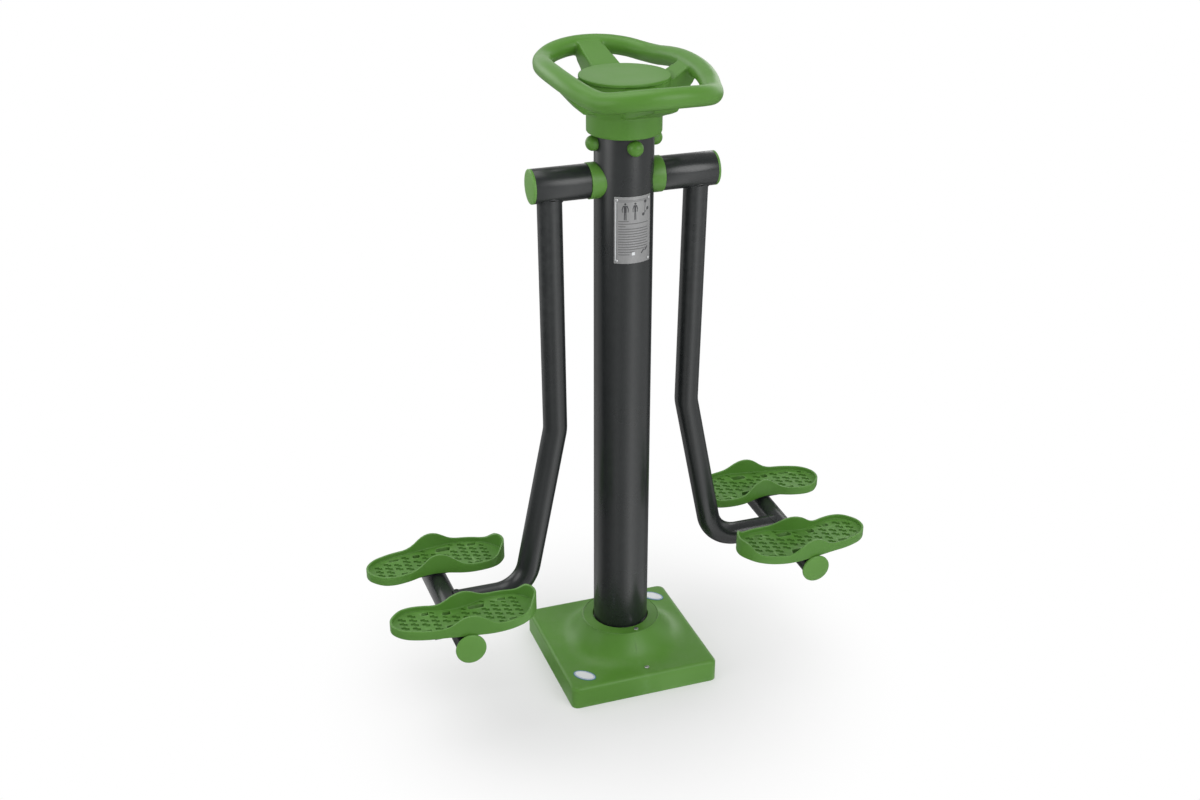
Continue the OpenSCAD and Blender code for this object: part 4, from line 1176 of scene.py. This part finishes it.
def make_floor():
    """White floor: shaded near the walker, plain white far off, streaked in reflections."""
    put_down()
    bpy.ops.mesh.primitive_plane_add(size=FLOOR_SIZE, location=(0, 0, -FLOOR_DROP))
    floor = bpy.context.object
    floor.name = "studio_floor"
    stuff = bpy.data.materials.new("studio floor")
    stuff.use_nodes = True
    tree = stuff.node_tree
    shader = tree.nodes["Principled BSDF"]
    shader.inputs["Base Color"].default_value = FLOOR_TONE
    shader.inputs["Roughness"].default_value = 0.9
    shader.inputs["Specular IOR Level"].default_value = 0.1
    place = tree.nodes.new("ShaderNodeTexCoord")
    reach = add(tree, "ShaderNodeVectorMath", operation="DISTANCE")
    wire(tree, place.outputs["Object"], reach.inputs[0])
    reach.inputs[1].default_value = FLOOR_SPOT
    white = spread(tree, reach.outputs["Value"], FLOOR_NEAR, FLOOR_FAR, FLOOR_SHARE, 1.0)
    light = tree.nodes.new("ShaderNodeLightPath")
    glow = add(tree, "ShaderNodeEmission", Color=(1, 1, 1, 1), Strength=1.0)
    seen = tree.nodes.new("ShaderNodeMixShader")
    wire(tree, sums(tree, "MULTIPLY", light.outputs["Is Camera Ray"], white), seen.inputs["Fac"])
    wire(tree, shader.outputs["BSDF"], seen.inputs[1])
    wire(tree, glow.outputs["Emission"], seen.inputs[2])
    parts = tree.nodes.new("ShaderNodeSeparateXYZ")
    wire(tree, place.outputs["Object"], parts.inputs["Vector"])
    around = sums(tree, "ARCTAN2", parts.outputs["Y"], parts.outputs["X"])
    turn = sums(tree, "ADD", sums(tree, "DIVIDE", around, 2 * math.pi), 0.5)
    ramp = tree.nodes.new("ShaderNodeValToRGB")
    ramp.color_ramp.interpolation = "EASE"
    stops = ramp.color_ramp.elements
    stops[0].position, stops[1].position = STREAKS[0][0], STREAKS[-1][0]
    for spot, level in STREAKS[1:-1]:
        stops.new(spot)
    for stop, (spot, level) in zip(stops, STREAKS):
        stop.color = (*(level / STREAK_TOP,) * 3, 1)
    wire(tree, turn, ramp.inputs["Fac"])
    mirrored = add(tree, "ShaderNodeEmission", Strength=STREAK_TOP)
    wire(tree, ramp.outputs["Color"], mirrored.inputs["Color"])
    final = tree.nodes.new("ShaderNodeMixShader")
    wire(tree, light.outputs["Is Glossy Ray"], final.inputs["Fac"])
    wire(tree, seen.outputs["Shader"], final.inputs[1])
    wire(tree, mirrored.outputs["Emission"], final.inputs[2])
    wire(tree, final.outputs["Shader"], tree.nodes["Material Output"].inputs["Surface"])
    floor.data.materials.append(stuff)


def make_studio():
    """Floor, surroundings, lamps and the photograph's camera."""
    make_floor()
    world = bpy.data.worlds.new("studio")
    bpy.context.scene.world = world
    world.use_nodes = True
    tree = world.node_tree
    place = tree.nodes.new("ShaderNodeTexCoord")
    parts = tree.nodes.new("ShaderNodeSeparateXYZ")
    wire(tree, place.outputs["Generated"], parts.inputs["Vector"])
    dim = sums(tree, "MULTIPLY", spread(tree, parts.outputs["Z"], *SKY_BY_HEIGHT),
               spread(tree, parts.outputs["Y"], *SKY_BY_DEPTH))
    light = tree.nodes.new("ShaderNodeLightPath")
    level = tree.nodes.new("ShaderNodeMix")
    wire(tree, light.outputs["Is Camera Ray"], level.inputs["Factor"])
    wire(tree, dim, level.inputs["A"])
    level.inputs["B"].default_value = 1.0
    wire(tree, level.outputs["Result"], tree.nodes["Background"].inputs["Strength"])
    tree.nodes["Background"].inputs["Color"].default_value = (1, 1, 1, 1)

    for name, place, aim, size, power in LAMPS:
        lamp = bpy.data.lights.new(name, "AREA")
        lamp.shape = "DISK"
        lamp.size = size
        lamp.energy = power
        spot = bpy.data.objects.new(name, lamp)
        bpy.context.scene.collection.objects.link(spot)
        spot.location = place
        spot.rotation_euler = (Vector(aim) - Vector(place)).to_track_quat("-Z", "Y").to_euler()

    lens = bpy.data.cameras.new("camera")
    lens.sensor_width = 36
    lens.lens = FOCAL / PHOTO_WIDTH * lens.sensor_width
    lens.clip_end = 200
    camera = bpy.data.objects.new("camera", lens)
    bpy.context.scene.collection.objects.link(camera)
    turn = Matrix((CAMERA_RIGHT, CAMERA_UP, -CAMERA_AHEAD)).transposed().to_4x4()
    camera.matrix_world = Matrix.Translation(CAMERA_PLACE) @ turn
    bpy.context.scene.camera = camera
    bpy.context.scene.view_settings.view_transform = "Standard"


make_studio()
make_post()
make_spacer_rings()
make_bolt_caps()
make_handwheel()
make_hub_cap()
make_cover()
make_ovals()
make_info_plate()
make_arms()
make_foot_plates()
finish_metal()
